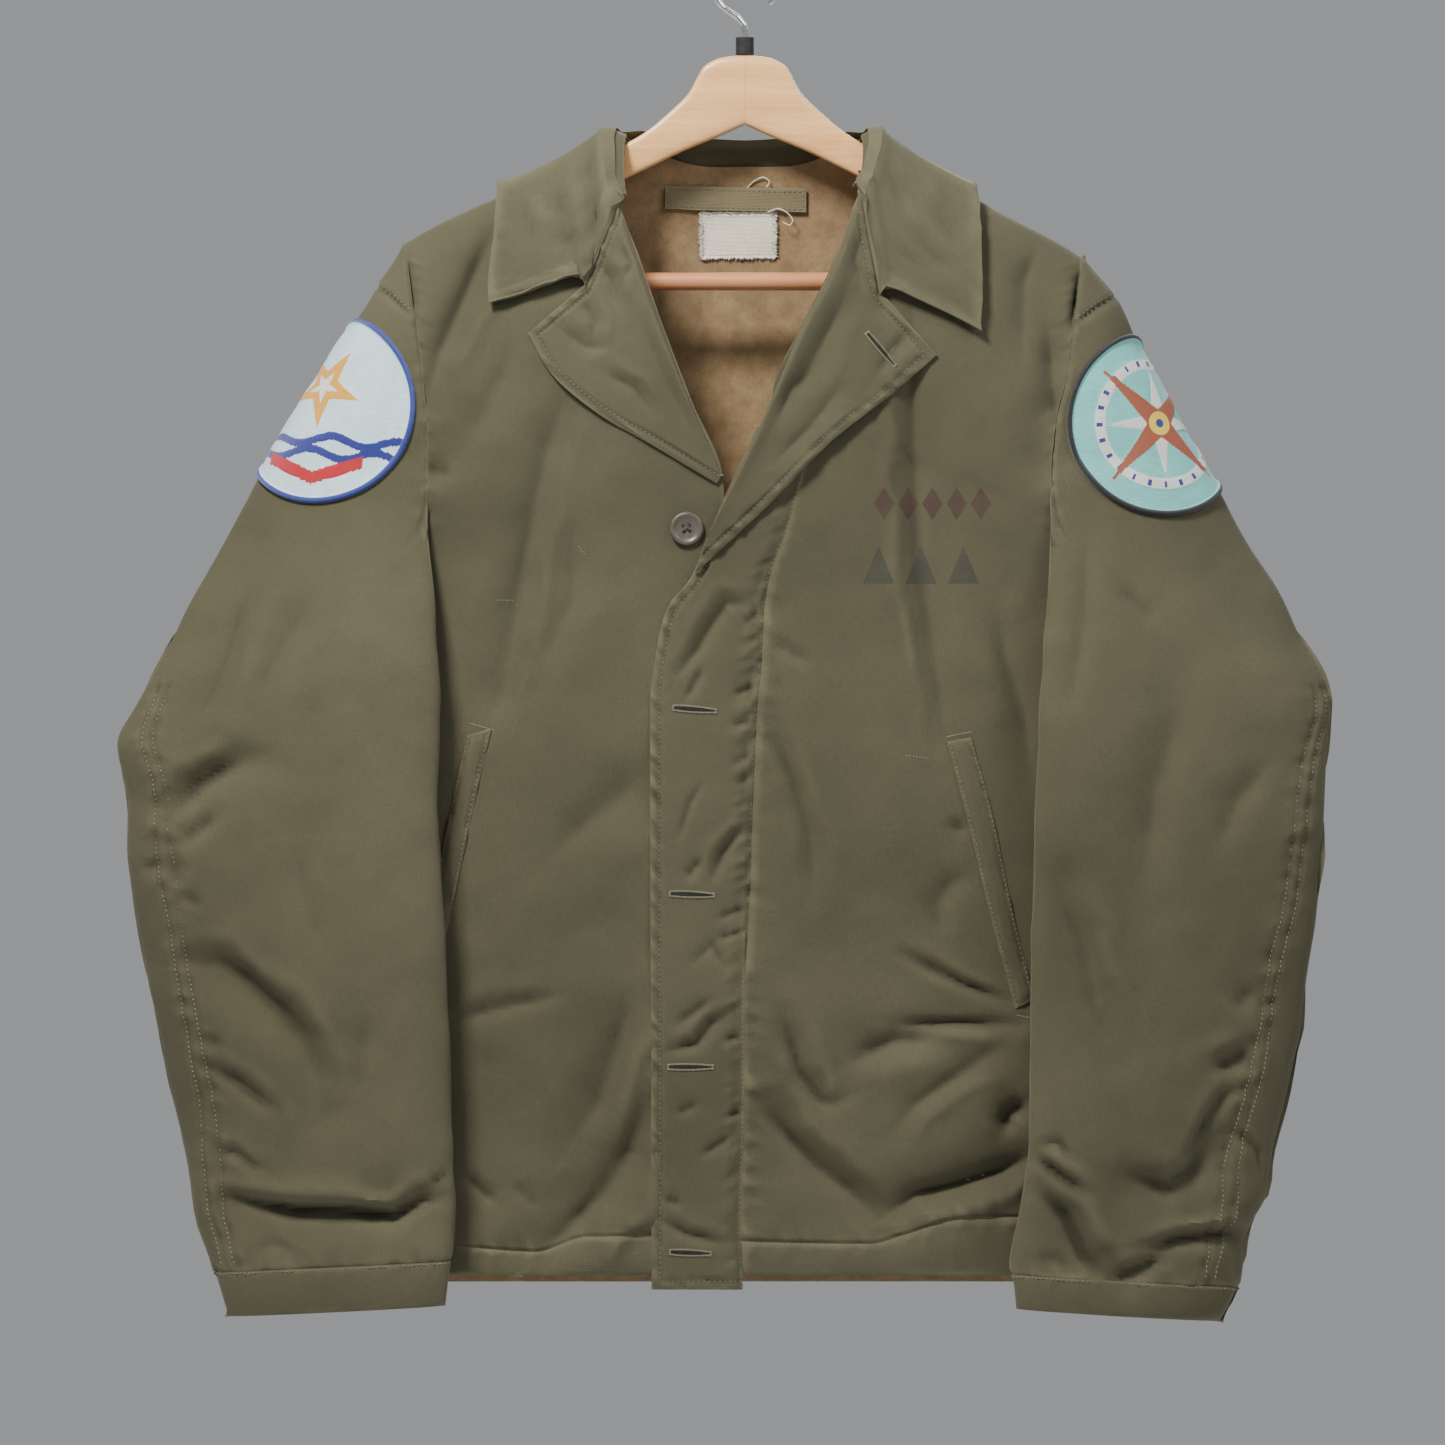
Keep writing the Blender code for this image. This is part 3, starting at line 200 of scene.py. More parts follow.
# Creases that show, columns: width, depth, how much the cloth rises beside them, points along x, z
RIGHT_FRONT = (
    (9, 3.5, .5, ((-107, -264), (-120, -299), (-129, -341), (-138, -389), (-147, -437), (-153, -461))),
    (10, 2.5, .3, ((-103, -344), (-105, -390), (-118, -415), (-128, -439))),
    (14, 4, .4, ((-57, -490), (-80, -509), (-103, -528), (-115, -543))),
    (10, 6, .4, ((-71, -629), (-79, -658), (-90, -691), (-101, -710))),
    (12, 9, .5, ((-61, -690), (-70, -719), (-87, -745), (-107, -767), (-120, -779))),
    (6, 3.5, 0, ((-169, -733), (-149, -751))), (6, 2, 0, ((-139, -739), (-124, -754))),
    (6, 3.5, .2, ((-176, -640), (-154, -635), (-139, -631), (-113, -626))),
    (9, 6, .4, ((-150, -163), (-170, -208), (-184, -241), (-190, -265))),
    (12, 3, 0, ((-138, -236), (-153, -269), (-171, -302))), (5, 3, 0, ((-191, -310), (-176, -313))),
    (4, 5, 0, ((-205, -177), (-200, -204), (-199, -222))),
)
LEFT_FRONT = (
    (7, 3.5, -.6, ((100, -212), (100, -272), (101, -321), (103, -365), (109, -401), (116, -449),
                   (119, -473))),
    (9, 3.5, 0, ((151, -391), (154, -421), (166, -458), (171, -497))),
    (10, 3, 0, ((178, -171), (167, -198), (166, -247))), (8, 6, 0, ((182, -229), (187, -286))),
    (4, 5, 0, ((202, -187), (199, -209), (196, -227))),
    (8, 6.5, .4, ((11, -692), (28, -712), (44, -728), (63, -742), (81, -759))),
    (7, 8, .5, ((171, -722), (154, -731), (128, -739), (102, -745), (91, -754))),
    (5, 4.5, .3, ((163, -643), (128, -642), (92, -643))),
    (9, 6, .3, ((118, -651), (89, -653), (73, -660), (63, -668))),
    (7, 5, .3, ((22, -637), (33, -672), (46, -689), (53, -691), (63, -685))),
    (7, 3.5, .3, ((154, -655), (128, -673), (102, -691), (89, -709))),
    (8, 7, 0, ((170, -689), (159, -697), (154, -709))),
    (7, 3.5, .3, ((10, -460), (20, -478), (29, -500), (37, -529), (40, -569))),
    (4, 2, 0, ((15, -413), (29, -420), (41, -426))), (4, 1.6, 0, ((13, -434), (23, -443))),
    (4, 2.5, 0, ((122, -524), (133, -526))),
    (8, 3.5, 0, ((133, -555), (122, -559), (114, -573), (117, -593))),
    (4, 3.5, .3, ((94, -600), (109, -608), (133, -620), (158, -629))),
)
PLACKET = (
    (5, 3, .3, ((-40, -433), (-29, -419), (-22, -407), (-11, -391), (2, -391))),
    (3.5, 2, 0, ((-36, -449), (-31, -440), (-25, -429))), (3, 1.8, 0, ((-1, -404), (9, -395))),
    (3, 2, 0, ((-7, -446), (6, -440))), (3, 1.8, 0, ((-8, -464), (6, -461))),
    (3, 1.6, 0, ((-8, -488), (5, -481))), (3, 1.6, 0, ((-5, -500), (4, -494))),
    (3.5, 2, 0, ((-36, -556), (-26, -544))), (4, 3, .3, ((-20, -557), (-14, -542), (-5, -530), (3, -527))),
    (3.5, 1.5, 0, ((-40, -532), (-33, -510), (-26, -499))), (3.5, 2, 0, ((-16, -580), (0, -573))),
    (3.5, 2, 0, ((-16, -592), (0, -587))), (3.5, 2, 0, ((-41, -643), (-29, -635), (-22, -629))),
    (4, 3, .3, ((-45, -659), (-29, -655), (-20, -643), (-10, -637))),
    (3, 1.8, 0, ((-13, -653), (-1, -650))),
    (3, 1.8, 0, ((-11, -698), (-1, -696))), (3.5, 1.6, 0, ((-41, -697), (-29, -691))),
    (4, 2, 0, ((-26, -722), (-8, -710))), (4, 2.6, .2, ((-49, -761), (-35, -769), (-14, -774))),
    (3, 1.5, 0, ((-48, -748), (-39, -751))), (5, 1.5, 0, ((-33, -608), (-20, -596), (-10, -611))),
)
BACK = (
    (16, 6, .4, ((-196, -250), (-170, -300), (-148, -372), (-140, -440))),
    (15, 5, .4, ((194, -262), (172, -318), (158, -380), (140, -452))),
    (14, 4, .3, ((-40, -150), (-52, -240), (-46, -330))),
    (12, 3.5, .3, ((48, -160), (60, -235), (56, -310))),
    (18, 5, .3, ((-95, -560), (-88, -640), (-104, -730), (-98, -790))),
    (16, 4.5, .4, ((70, -600), (84, -680), (76, -780))),
    (10, 5, .4, ((-236, -690), (-190, -712), (-140, -742), (-112, -760))),
    (11, 6, .4, ((238, -668), (186, -700), (150, -738), (118, -764))),
    (9, 3.5, .3, ((-226, -448), (-190, -470), (-150, -500))),
    (9, 4, .3, ((224, -440), (182, -478), (150, -520))),
    (8, 3, .2, ((-20, -690), (8, -742), (22, -778))), (14, 3, .2, ((10, -360), (-8, -440), (6, -520))),
)
RIGHT_SLEEVE = (
    (9, 3, .3, ((-294, -373), (-305, -397), (-313, -423), (-323, -449), (-332, -461))),
    (10, 2.5, .3, ((-260, -386), (-274, -407), (-287, -431), (-300, -452))),
    (8, 5.5, .4, ((-342, -515), (-329, -500), (-314, -491), (-302, -485))),
    (6, 3.5, .3, ((-339, -535), (-329, -526), (-317, -516))), (4, 2.5, 0, ((-361, -551), (-352, -545))),
    (4, 2, 0, ((-349, -550), (-335, -549))), (5, 2, 0, ((-338, -565), (-325, -573))),
    (8, 5.5, .4, ((-330, -606), (-314, -607), (-299, -617), (-279, -634), (-262, -653), (-253, -673))),
    (5, 4, .3, ((-322, -668), (-303, -678), (-281, -695))), (4, 2, 0, ((-323, -651), (-313, -656))),
    (4, 3, .2, ((-316, -722), (-306, -719), (-296, -727), (-289, -730))),
    (6, 7, .6, ((-311, -747), (-293, -751), (-269, -755), (-235, -755), (-210, -757), (-193, -748),
                (-178, -746))),
    (4, 3, 0, ((-188, -739), (-176, -730))), (3.5, 2, 0, ((-296, -781), (-283, -773), (-268, -780))),
    (12, 3, 0, ((-227, -636), (-231, -665), (-235, -690))),
    (12, 2.5, 0, ((-262, -529), (-266, -554), (-249, -605))),
)
LEFT_SLEEVE = (
    (9, 3.5, .3, ((187, -564), (199, -592), (208, -632), (219, -649))),
    (7, 5.5, .3, ((281, -671), (295, -664), (304, -658))), (7, 3, 0, ((293, -634), (306, -621))),
    (5, 4, .3, ((267, -719), (278, -699), (288, -685), (297, -680))),
    (9, 5, .3, ((230, -733), (253, -742), (269, -731), (278, -713))),
    (5, 5.5, .5, ((238, -779), (260, -772), (288, -769), (301, -775))),
    (4, 3, 0, ((173, -715), (187, -713), (194, -721))),
    (4.5, 5, .4, ((173, -721), (188, -733), (206, -745))),
    (8, 7, .3, ((176, -742), (192, -758), (203, -781), (219, -795))),
    (4, 4, .4, ((221, -796), (238, -788), (253, -782))),
    (4, 2.5, 0, ((173, -783), (188, -783), (199, -790))),
    (4, 2.5, 0, ((281, -711), (295, -708), (308, -719), (311, -737))),
    (10, 2.5, 0, ((223, -380), (249, -401))), (9, 2.5, 0, ((205, -347), (202, -403), (194, -452))),
    (10, 2.5, .2, ((261, -449), (243, -503), (237, -557))),
    (8, 2.5, .2, ((315, -485), (294, -509), (282, -539))),
)
# Back walls of the sleeves, x as a distance from the middle
SLEEVE_BACKS = (
    (10, 5, .4, ((356, -470), (330, -488), (300, -520), (276, -560))),
    (9, 4.5, .4, ((350, -540), (322, -548), (296, -572))),
    (9, 6, .4, ((338, -640), (310, -656), (284, -690), (268, -716))),
    (8, 5, .4, ((318, -740), (292, -734), (266, -748))),
    (8, 4, .3, ((300, -420), (280, -470), (270, -520))),
    (6, 3, .3, ((306, -776), (284, -784), (266, -780))),
    (8, 4, .3, ((262, -300), (286, -350), (306, -400))),
)
# Short seams that shape the top of each sleeve
CAP_SEAMS = (
    (1.8, 2.2, 0, ((-226, -197), (-214, -205), (-201, -217))),
    (1.8, 2.2, 0, ((224, -205), (211, -213), (198, -223))),
)
# Soft wear of the collar's leaf and the lapels, x, z as above
COLLAR_CREASES = (
    (5, 3.2, .4, ((-112, -130), (-108, -160), (-100, -185))), (5, 2.8, .4, ((-134, -150), (-124, -176))),
    (5, 2.8, .4, ((98, -168), (112, -182), (126, -192))), (5, 2.4, .3, ((94, -134), (104, -156))),
    (4, 2.4, .3, ((112, -152), (122, -172))), (4, 2.6, .4, ((-92, -128), (-88, -152), (-90, -176))),
    (5, 2.6, .4, ((-84, -118), (-96, -136), (-104, -140))),
    (4, 2, .3, ((-126, -138), (-114, -150), (-104, -154))),
    (4, 2.2, .4, ((82, -126), (92, -146), (94, -164))),
    (5, 2.4, .4, ((118, -140), (126, -164), (122, -184))),
    (4, 1.8, .3, ((88, -176), (100, -186), (116, -192))),
    (4, 2, .3, ((-118, -168), (-106, -174), (-92, -172))),
)
LAPEL_CREASES = (
    (5, 3.2, .4, ((-88, -186), (-80, -196), (-76, -214))),
    (4, 2.4, .4, ((-98, -206), (-90, -222), (-92, -234))),
    (5, 2.8, .4, ((84, -190), (80, -208), (84, -222))), (7, 2.6, .4, ((60, -208), (46, -236), (30, -268))),
    (7, 2.8, .4, ((-62, -220), (-50, -250), (-34, -284))),
    (4, 2.2, .3, ((-74, -176), (-68, -188), (-72, -198))),
    (5, 2.4, .4, ((-110, -226), (-96, -236), (-82, -238))),
    (5, 2.4, .4, ((-84, -252), (-66, -262), (-56, -276))),
    (4, 2.2, .3, ((70, -170), (66, -186), (70, -200))), (5, 2.4, .4, ((98, -228), (86, -242), (78, -256))),
    (5, 2.2, .3, ((40, -252), (28, -262), (20, -280))), (5, 2.4, .4, ((56, -262), (40, -284), (20, -304))),
)

# Sewing and edges
INNER_STEP = 3
COTTON = "olive_cotton"
HEM_WALL = 2.4 * MM
SLIT_WALL = 0.05 * MM
SEAM_GAP = 0.05 * MM
STITCH_PITCH = 3.0 * MM
STITCH_LENGTH = 2.3 * MM
STITCH_WIDTH = 0.75 * MM
STITCH_HEIGHT = 0.5 * MM
STITCH_DIP = 0.15 * MM
STITCH_ROOT = 0.4 * MM
EDGE_ROLL = 1.0 * MM
SAG_LIMIT = 8 * MM
LINING_RIM = 2.6 * MM
LINING_BELOW = 3.6 * MM
NECK_OVERLAP = 6 * MM
PLACKET_HANG = 8.5 * MM
LAPEL_BEND = 0.52
GORGE_OVERLAP = 1.0 * MM
GORGE_PULL = 20 * MM
EDGE_ROUND = 1.1 * MM
THIN_EDGE = 0.5 * MM
# columns: x, z of the seam between a front and its hem band
HEM_SEAM = ((-262, -776), (-172, -777), (-125, -780), (-96, -771), (-60, -770), (11, -774), (76, -775),
            (95, -770), (130, -760), (166, -759), (262, -768))
# columns: z, distance of each stitched row from the outline of the sleeve
FELLED_ROWS = {
    -1: ((-424, 2, 8), (-464, 12.8, 18.8), (-496, 17.7, 25), (-525, 16.8, 25), (-554, 18, 28),
         (-583, 19.6, 26.8), (-625, 17.4, 25), (-670, 17, 25), (-721, 10, 20), (-776, 6.6, 14)),
    1: ((-460, 3, 9), (-500, 9, 16), (-564, 12.6, 20), (-592, 16, 23), (-637, 19, 25), (-664, 19, 26.5),
        (-699, 20, 27), (-726, 19.5, 28.5), (-758, 12, 21), (-780, 16, 22)),
}

# Rows and columns of the grids of cloth
FRONT_GRID = (301, 106)
BAND_GRID = (13, 136)
BACK_GRID = (241, 205)
# columns: from, to and rows of each part of the lining, as shares of its length
LINING_PARTS = ((0.0, 0.25, 90), (0.26, 1.0, 100))
PLACKET_GRID = (319, 46)
LAPEL_GRID = (127, 64)
LAPEL_EASE = 1.15
COLLAR_GRID = (64, 265)
STAND = 0.3
SLEEVE_ROWS = 247
UNDER_ROWS = 151
SLEEVE_SPLIT = -346 * MM
CUFF_ROWS = 16
WELT_GRID = (106, 13)
TAPE_GRID = (13, 106)
LABEL_GRID = (31, 49)
PATCH_SECTORS = 300
PATCH_RINGS = 58
ARM_SIDES = 48
ARM_STATIONS = 90
BUTTON_SIDES = 72

# Darns and the tacks at the ends of the pockets: start and end x, z and the spacing of their stitches
DARNS = {
    -1: (((-165, -463), (-151, -467), 0.9), ((-149, -389), (-139, -389), 1.6),
         ((-100, -356), (-96, -362), 1.6)),
    1: (((121, -471), (136, -468), 0.9), ((163, -638), (173, -640), 0.9), ((96, -482), (110, -484), 1.8)),
}


BUTTONHOLES = (((-43.2, -453.5), (-17.4, -455.5)), ((-45, -565), (-18.6, -566)),
               ((-46.2, -669), (-19.2, -669)), ((-45, -780), (-20.4, -781)))
LAPEL_HOLE = ((73.2, -228.6), (90, -248.4))
COLLAR_HOLE = ((114.6, -184.2), (125.4, -206.4))
SIDES = ((-1, "right"), (1, "left"))

# columns: share of the radius, height as a share of the thickness
BUTTON_PROFILE = (
    (0.0, -0.48), (0.86, -0.5), (0.97, -0.36), (1.0, -0.05), (0.985, 0.22), (0.93, 0.42), (0.86, 0.5),
    (0.78, 0.47), (0.72, 0.36), (0.66, 0.24), (0.5, 0.17), (0.0, 0.15),
)

# Rows of generic shapes on the chest: x of the middle, pitch, count, drop, slope, half width
DIAMOND_ROW = (0.1125, 0.0145, 5, 0.331, 0.62, 0.0062)
WEDGE_ROW = (0.1056, 0.0255, 3, 0.379, 0.42, 0.0095)

# Colour of each embroidery thread and the slant of its stitches in radians
PATCH_THREADS = {
    "blue border": ((0.025, 0.045, 0.26), 0.0), "pale blue": ((0.62, 0.80, 0.86), 1.57),
    "gold": ((0.75, 0.36, 0.03), 0.6), "navy": ((0.02, 0.03, 0.24), 0.0), "red": ((0.50, 0.015, 0.025), 0.3),
    "black border": ((0.010, 0.010, 0.012), 0.0), "aqua": ((0.20, 0.60, 0.55), 1.57),
    "rust": ((0.33, 0.075, 0.03), 0.7), "white": ((0.72, 0.71, 0.66), 0.2),
    "yellow": ((0.82, 0.60, 0.06), 0.0),
}
PATCH_RIM = 3.6 * MM
PATCH_BORDER = 3.4 * MM

# Loose threads of the label, columns: x, distance in front of the label, z
LOOSE_THREADS = {
    "loose_thread_low": ((14, 1, -153), (20, 2, -151), (25, 3, -153), (29, 3, -158), (27, 2, -161),
                         (23, 2, -159)),
    "loose_thread_high": ((1, 1, -139), (6, 3, -134), (11, 4, -132), (15, 4, -135), (13, 3, -138)),
}

# Sheets, columns: piece, width and length of the cut, area of the cut in square metres, what it hangs from
SHEETS = (
    ("cloth_front_right", 0.290, 0.700, 0.1550, ("beech_arm_right", "cloth_back")),
    ("cloth_front_left", 0.300, 0.700, 0.1570, ("beech_arm_left", "cloth_back")),
    ("hem_band_front_right", 0.262, 0.026, 0.0061, ("cloth_front_right",)),
    ("hem_band_front_left", 0.270, 0.038, 0.0086, ("cloth_front_left",)),
    ("cloth_sleeve_right", 0.460, 0.640, 0.2050, ("cloth_front_right", "cloth_back")),
    ("cloth_sleeve_left", 0.450, 0.640, 0.1960, ("cloth_front_left", "cloth_back")),
    ("cuff_band_right", 0.310, 0.030, 0.0088, ("cloth_sleeve_right",)),
    ("cuff_band_left", 0.300, 0.024, 0.0068, ("cloth_sleeve_left",)),
    ("welt_right", 0.0165, 0.166, 0.0025, ("cloth_front_right",)),
    ("welt_left", 0.0175, 0.168, 0.0028, ("cloth_front_left",)),
    ("cloth_back", 0.560, 0.690, 0.3380, ("beech_arm_right", "beech_arm_left")),
    ("hem_band_back", 0.560, 0.0205, 0.0110, ("cloth_back",)),
    ("wool_lining", 0.560, 0.720, 0.3370, ("cloth_back",)),
    ("loop_tape", 0.087, 0.0155, 0.00134, ("wool_lining",)),
    ("blank_label", 0.0475, 0.0295, 0.00137, ("wool_lining",)),
    ("cloth_placket", 0.100, 0.520, 0.0315, ("cloth_front_left",)),
    ("cloth_lapel_right", 0.125, 0.175, 0.0091, ("cloth_front_right",)),
    ("cloth_lapel_left", 0.130, 0.235, 0.0112, ("cloth_front_left",)),
    ("cloth_collar", 0.460, 0.115, 0.0465, ("cloth_back", "cloth_front_right", "cloth_front_left")),
    ("patch_disc_right", 0.119, 0.119, 0.0111, ("cloth_sleeve_right",)),
    ("patch_disc_left", 0.116, 0.116, 0.0105, ("cloth_sleeve_left",)),
)

# Camera, floor, world and lights
CAMERA_FAR = 7.0
FRONT_PLANE = -0.045
FRAME_WIDTH = 0.867
FRAME_MIDDLE = (-0.0135, -0.4623)
SENSOR = 36.0
FLOOR = -1.35
FLOOR_SIZE = 14.0
FLOOR_COLOUR = (0.72, 0.73, 0.75, 1.0)
SKY_COLOUR = (0.90, 0.92, 0.95, 1.0)
SKY_STRENGTH = 0.36
# columns: name, place, what it looks at, size, power, colour
LIGHTS = (
    ("key light", (-0.75, -1.2, 1.15), (0.0, 0.0, -0.2), 0.45, 76, (1.0, 0.98, 0.95)),
    ("side light", (1.5, -1.1, 0.9), (0.0, 0.0, -0.45), 0.7, 17, (0.95, 0.98, 1.0)),
    ("back light", (0.6, 2.6, 0.9), (0.0, 0.0, -0.45), 1.4, 36, (1.0, 1.0, 1.0)),
)


# Tables and noise


def curve(table, at, column=1):
    """Smooth monotone curve through one column of a table, for an array of places in millimetres."""
    rows = sorted((row[0], row[column]) for row in table)
    keys = np.array([row[0] for row in rows], dtype=float)
    values = np.array([row[1] for row in rows], dtype=float)
    slopes = np.diff(values) / np.diff(keys)
    tangents = np.empty_like(values)
    tangents[0] = slopes[0]
    tangents[-1] = slopes[-1]
    before, after = slopes[:-1], slopes[1:]
    turning = before * after <= 0
    total = np.where(turning, 1.0, before + after)
    tangents[1:-1] = np.where(turning, 0.0, 2 * before * after / total)
    at = np.clip(np.asarray(at, dtype=float), keys[0], keys[-1])
    i = np.clip(np.searchsorted(keys, at) - 1, 0, len(keys) - 2)
    span = keys[i + 1] - keys[i]
    t = (at - keys[i]) / span
    return (values[i] * (2 * t ** 3 - 3 * t ** 2 + 1) + values[i + 1] * (3 * t ** 2 - 2 * t ** 3)
            + span * (tangents[i] * (t ** 3 - 2 * t ** 2 + t) + tangents[i + 1] * (t ** 3 - t ** 2)))


def curve_mm(table, at, column=1):
    return curve(table, np.asarray(at) / MM, column) * MM


def curve_pair(table, at, column):
    """Curves through two neighbouring columns of a table, as x and z."""
    return np.stack([curve(table, at, each) for each in (column, column + 1)], axis=-1)


def smooth_step(value):
    value = np.clip(value, 0.0, 1.0)
    return value * value * (3.0 - 2.0 * value)


LATTICE = np.random.RandomState(11).uniform(-1.0, 1.0, (128, 128))


def noise(x, z, size, seed=0):
    """Soft value noise from -1 to 1 whose lumps are about this size."""
    u = np.asarray(x) / size + 17.3 * seed + 40.0
    w = np.asarray(z) / size + 9.1 * seed + 40.0
    i, j = np.floor(u).astype(int), np.floor(w).astype(int)
    s, t = smooth_step(u - i), smooth_step(w - j)
    a = LATTICE[i % 128, j % 128] * (1 - s) + LATTICE[(i + 1) % 128, j % 128] * s
    b = LATTICE[i % 128, (j + 1) % 128] * (1 - s) + LATTICE[(i + 1) % 128, (j + 1) % 128] * s
    return a * (1 - t) + b * t


def nearest_on_line(points, x, z):
    """Distance to a polyline, which side of it a place lies on, and how far along it, 0 to 1."""
    points = np.array(points, dtype=float) * MM
    runs = np.diff(points, axis=0)
    lengths = np.hypot(runs[:, 0], runs[:, 1])
    starts = np.concatenate(([0.0], np.cumsum(lengths)))
    best = np.full(np.shape(x), 1e9)
    side = np.zeros(np.shape(x))
    along = np.zeros(np.shape(x))
    for k, (a, run, length) in enumerate(zip(points, runs, lengths)):
        dx, dz = x - a[0], z - a[1]
        t = np.clip((dx * run[0] + dz * run[1]) / length ** 2, 0.0, 1.0)
        d = np.hypot(dx - run[0] * t, dz - run[1] * t)
        closer = d < best
        best = np.where(closer, d, best)
        side = np.where(closer, np.sign(run[0] * dz - run[1] * dx), side)
        along = np.where(closer, (starts[k] + t * length) / starts[-1], along)
    return best, side, along


def relief(creases, x, z):
    """How far the creases sink the cloth: sharp troughs whose flanks rise a little, fading at their ends."""
    x, z = np.broadcast_arrays(np.asarray(x, dtype=float), np.asarray(z, dtype=float))
    total = np.zeros(x.shape)
    for width, depth, rise, points in creases:
        xs = [p[0] * MM for p in points]
        zs = [p[1] * MM for p in points]
        pad = 4.5 * width * MM
        near = (x > min(xs) - pad) & (x < max(xs) + pad) & (z > min(zs) - pad) & (z < max(zs) + pad)
        if not near.any():
            continue
        d, side, along = nearest_on_line(points, x[near], z[near])
        wobble = 1 + 0.25 * noise(x[near], z[near], 22 * MM, 3)
        r = d / (width * MM * wobble)
        ends = np.clip(np.minimum(along, 1 - along) / 0.28, 0.0, 1.0) * 0.75 + 0.25
        trough = np.exp(-1.25 * (np.sqrt(r ** 2 * 1.6 + 0.1) - 0.316))
        bank = abs(rise) * np.exp(-((r - 1.9) / 0.9) ** 2) * (side * np.sign(rise or 1) > 0)
        total[near] += depth * MM * (trough - bank) * ends
    return total


def fold_depth(folds, x, z):
    x, z = np.broadcast_arrays(np.asarray(x, dtype=float), np.asarray(z, dtype=float))
    total = np.zeros(x.shape)
    for width, depth, points in folds:
        d, _, _ = nearest_on_line(points, x, z)
        total += groove(d, width, depth)
    return total


def pucker(d, s, reach, size, seed):
    """Small ripples that a tight seam draws into the cloth: d is the distance from the seam, s along it."""
    slant = s + 0.35 * np.abs(d)
    wave = noise(slant, d * 0.35, 7 * MM, seed) + 0.6 * noise(slant, d * 0.3, 3.8 * MM, seed + 5)
    return size * MM * wave * np.exp(-(d / (reach * MM)) ** 2)


def groove(d, width, depth):
    """A soft groove of this half width and depth, in millimetres, at a distance d from its middle."""
    return depth * MM * np.exp(-(d / (width * MM)) ** 2)


# Surfaces of the body


def ridge(x):
    return curve_mm(RIDGE, x)


def half_depth(limit, h):
    h = np.clip(h, 0.0, SHOULDER_DROP)
    return limit * np.sqrt(1.0 - (1.0 - h / SHOULDER_DROP) ** 2)


def side_round(x, z):
    share = np.minimum(1.0, np.abs(x) / curve_mm(BODY_WIDTH, z))
    return np.sqrt(np.maximum(0.0, 1.0 - share ** SIDE_POWER))


def plain_front_y(x, z):
    depth = half_depth(FRONT_DEPTH, ridge(x) - z) * side_round(x, z)
    return fold_depth(BODY_FOLDS, x, z) * np.minimum(1.0, depth / FRONT_DEPTH) - depth


def hem_seam(x):
    return curve_mm(HEM_SEAM, x)


def armhole_x(side, z):
    return np.where(z > UNDERARM, curve_mm(ARMHOLE[side], z), curve_mm(BODY_WIDTH, z))


def front_y(x, z):
    """Front surface with its creases, the ripples beside its seams and its slow waves."""
    x, z = np.broadcast_arrays(np.asarray(x, dtype=float), np.asarray(z, dtype=float))
    y = plain_front_y(x, z)
    soft = np.minimum(1.0, -y / (0.5 * FRONT_DEPTH))
    sink = np.where(x < 0, relief(RIGHT_FRONT, x, z), relief(LEFT_FRONT, x, z)) * np.where(x < 0, 1.05, 1.2)
    sink += 1.3 * MM * noise(x, z, 46 * MM, 1) + 0.45 * MM * noise(x, z, 17 * MM, 2)
    y = y + sink * soft
    low = z - hem_seam(x)
    y += pucker(low, x, 10, 1.0, 4) * soft
    y += groove(low, 1.4, 1.3)
    side = np.where(x < 0, -1, 1)
    seam = np.where(x < 0, armhole_x(-1, z), armhole_x(1, z)) - np.abs(x)
    y += pucker(seam, z, 9, 0.9, 6) * soft
    left_seam = x - curve_mm(FRONT_EDGE[1], z)
    low_enough = smooth_step((PLACKET_TOP - 70 * MM - z) / (30 * MM))
    y += np.where(side > 0, pucker(left_seam, z, 11, 1.5, 8) * low_enough, 0.0)
    y += np.where(side > 0, groove(left_seam, 1.7, 1.7) * low_enough, 0.0)
    return y


def back_y(x, z):
    x, z = np.broadcast_arrays(np.asarray(x, dtype=float), np.asarray(z, dtype=float))
    y = half_depth(BACK_DEPTH, ridge(x) - z) * side_round(x, z)
    soft = np.minimum(1.0, y / (0.5 * BACK_DEPTH))
    sink = relief(BACK, x, z) + 0.9 * MM * noise(x, z, 52 * MM, 9) + 0.3 * MM * noise(x, z, 18 * MM, 10)
    low = z - (HEM_BACK + HEM_BAND)
    sink += pucker(low, x, 10, 1.0, 12) + groove(low, 1.4, 1.2)
    side = np.where(x < 0, armhole_x(-1, z), armhole_x(1, z)) - np.abs(x)
    sink += pucker(side, z, 8, 0.5, 13)
    return y - sink * soft


def stack(x, y, z):
    return np.stack(np.broadcast_arrays(x, y, z), axis=-1)


def front_point(x, z):
    return stack(x, front_y(x, z), z)


def plain_front_point(x, z):
    return stack(x, plain_front_y(x, z), z)


def back_point(x, z):
    return stack(x, back_y(x, z), z)


def plain_over_point(x, d):
    """Point of the body a distance d below the ridge, behind it when d is positive, with no creases."""
    z = ridge(x) - np.abs(d)
    back = half_depth(BACK_DEPTH, np.abs(d)) * side_round(x, z)
    return stack(x, np.where(d < 0, plain_front_y(x, z), back), z)


def unit(vectors):
    return vectors / np.maximum(np.linalg.norm(vectors, axis=-1, keepdims=True), 1e-12)


def moved_out(place, u, v, lift, step=0.6 * MM):
    """Points of a surface moved along its normal, which looks away from the body's middle."""
    along = place(u + step, v) - place(u - step, v)
    down = place(u, v + step) - place(u, v - step)
    normal = unit(np.cross(along, down))
    here = place(u, v)
    outward = normal[..., 1] * here[..., 1] + normal[..., 2] * 0.02
    normal = np.where(outward[..., None] < 0, -normal, normal)
    return here + normal * np.asarray(lift)[..., None]


# Grids and shells


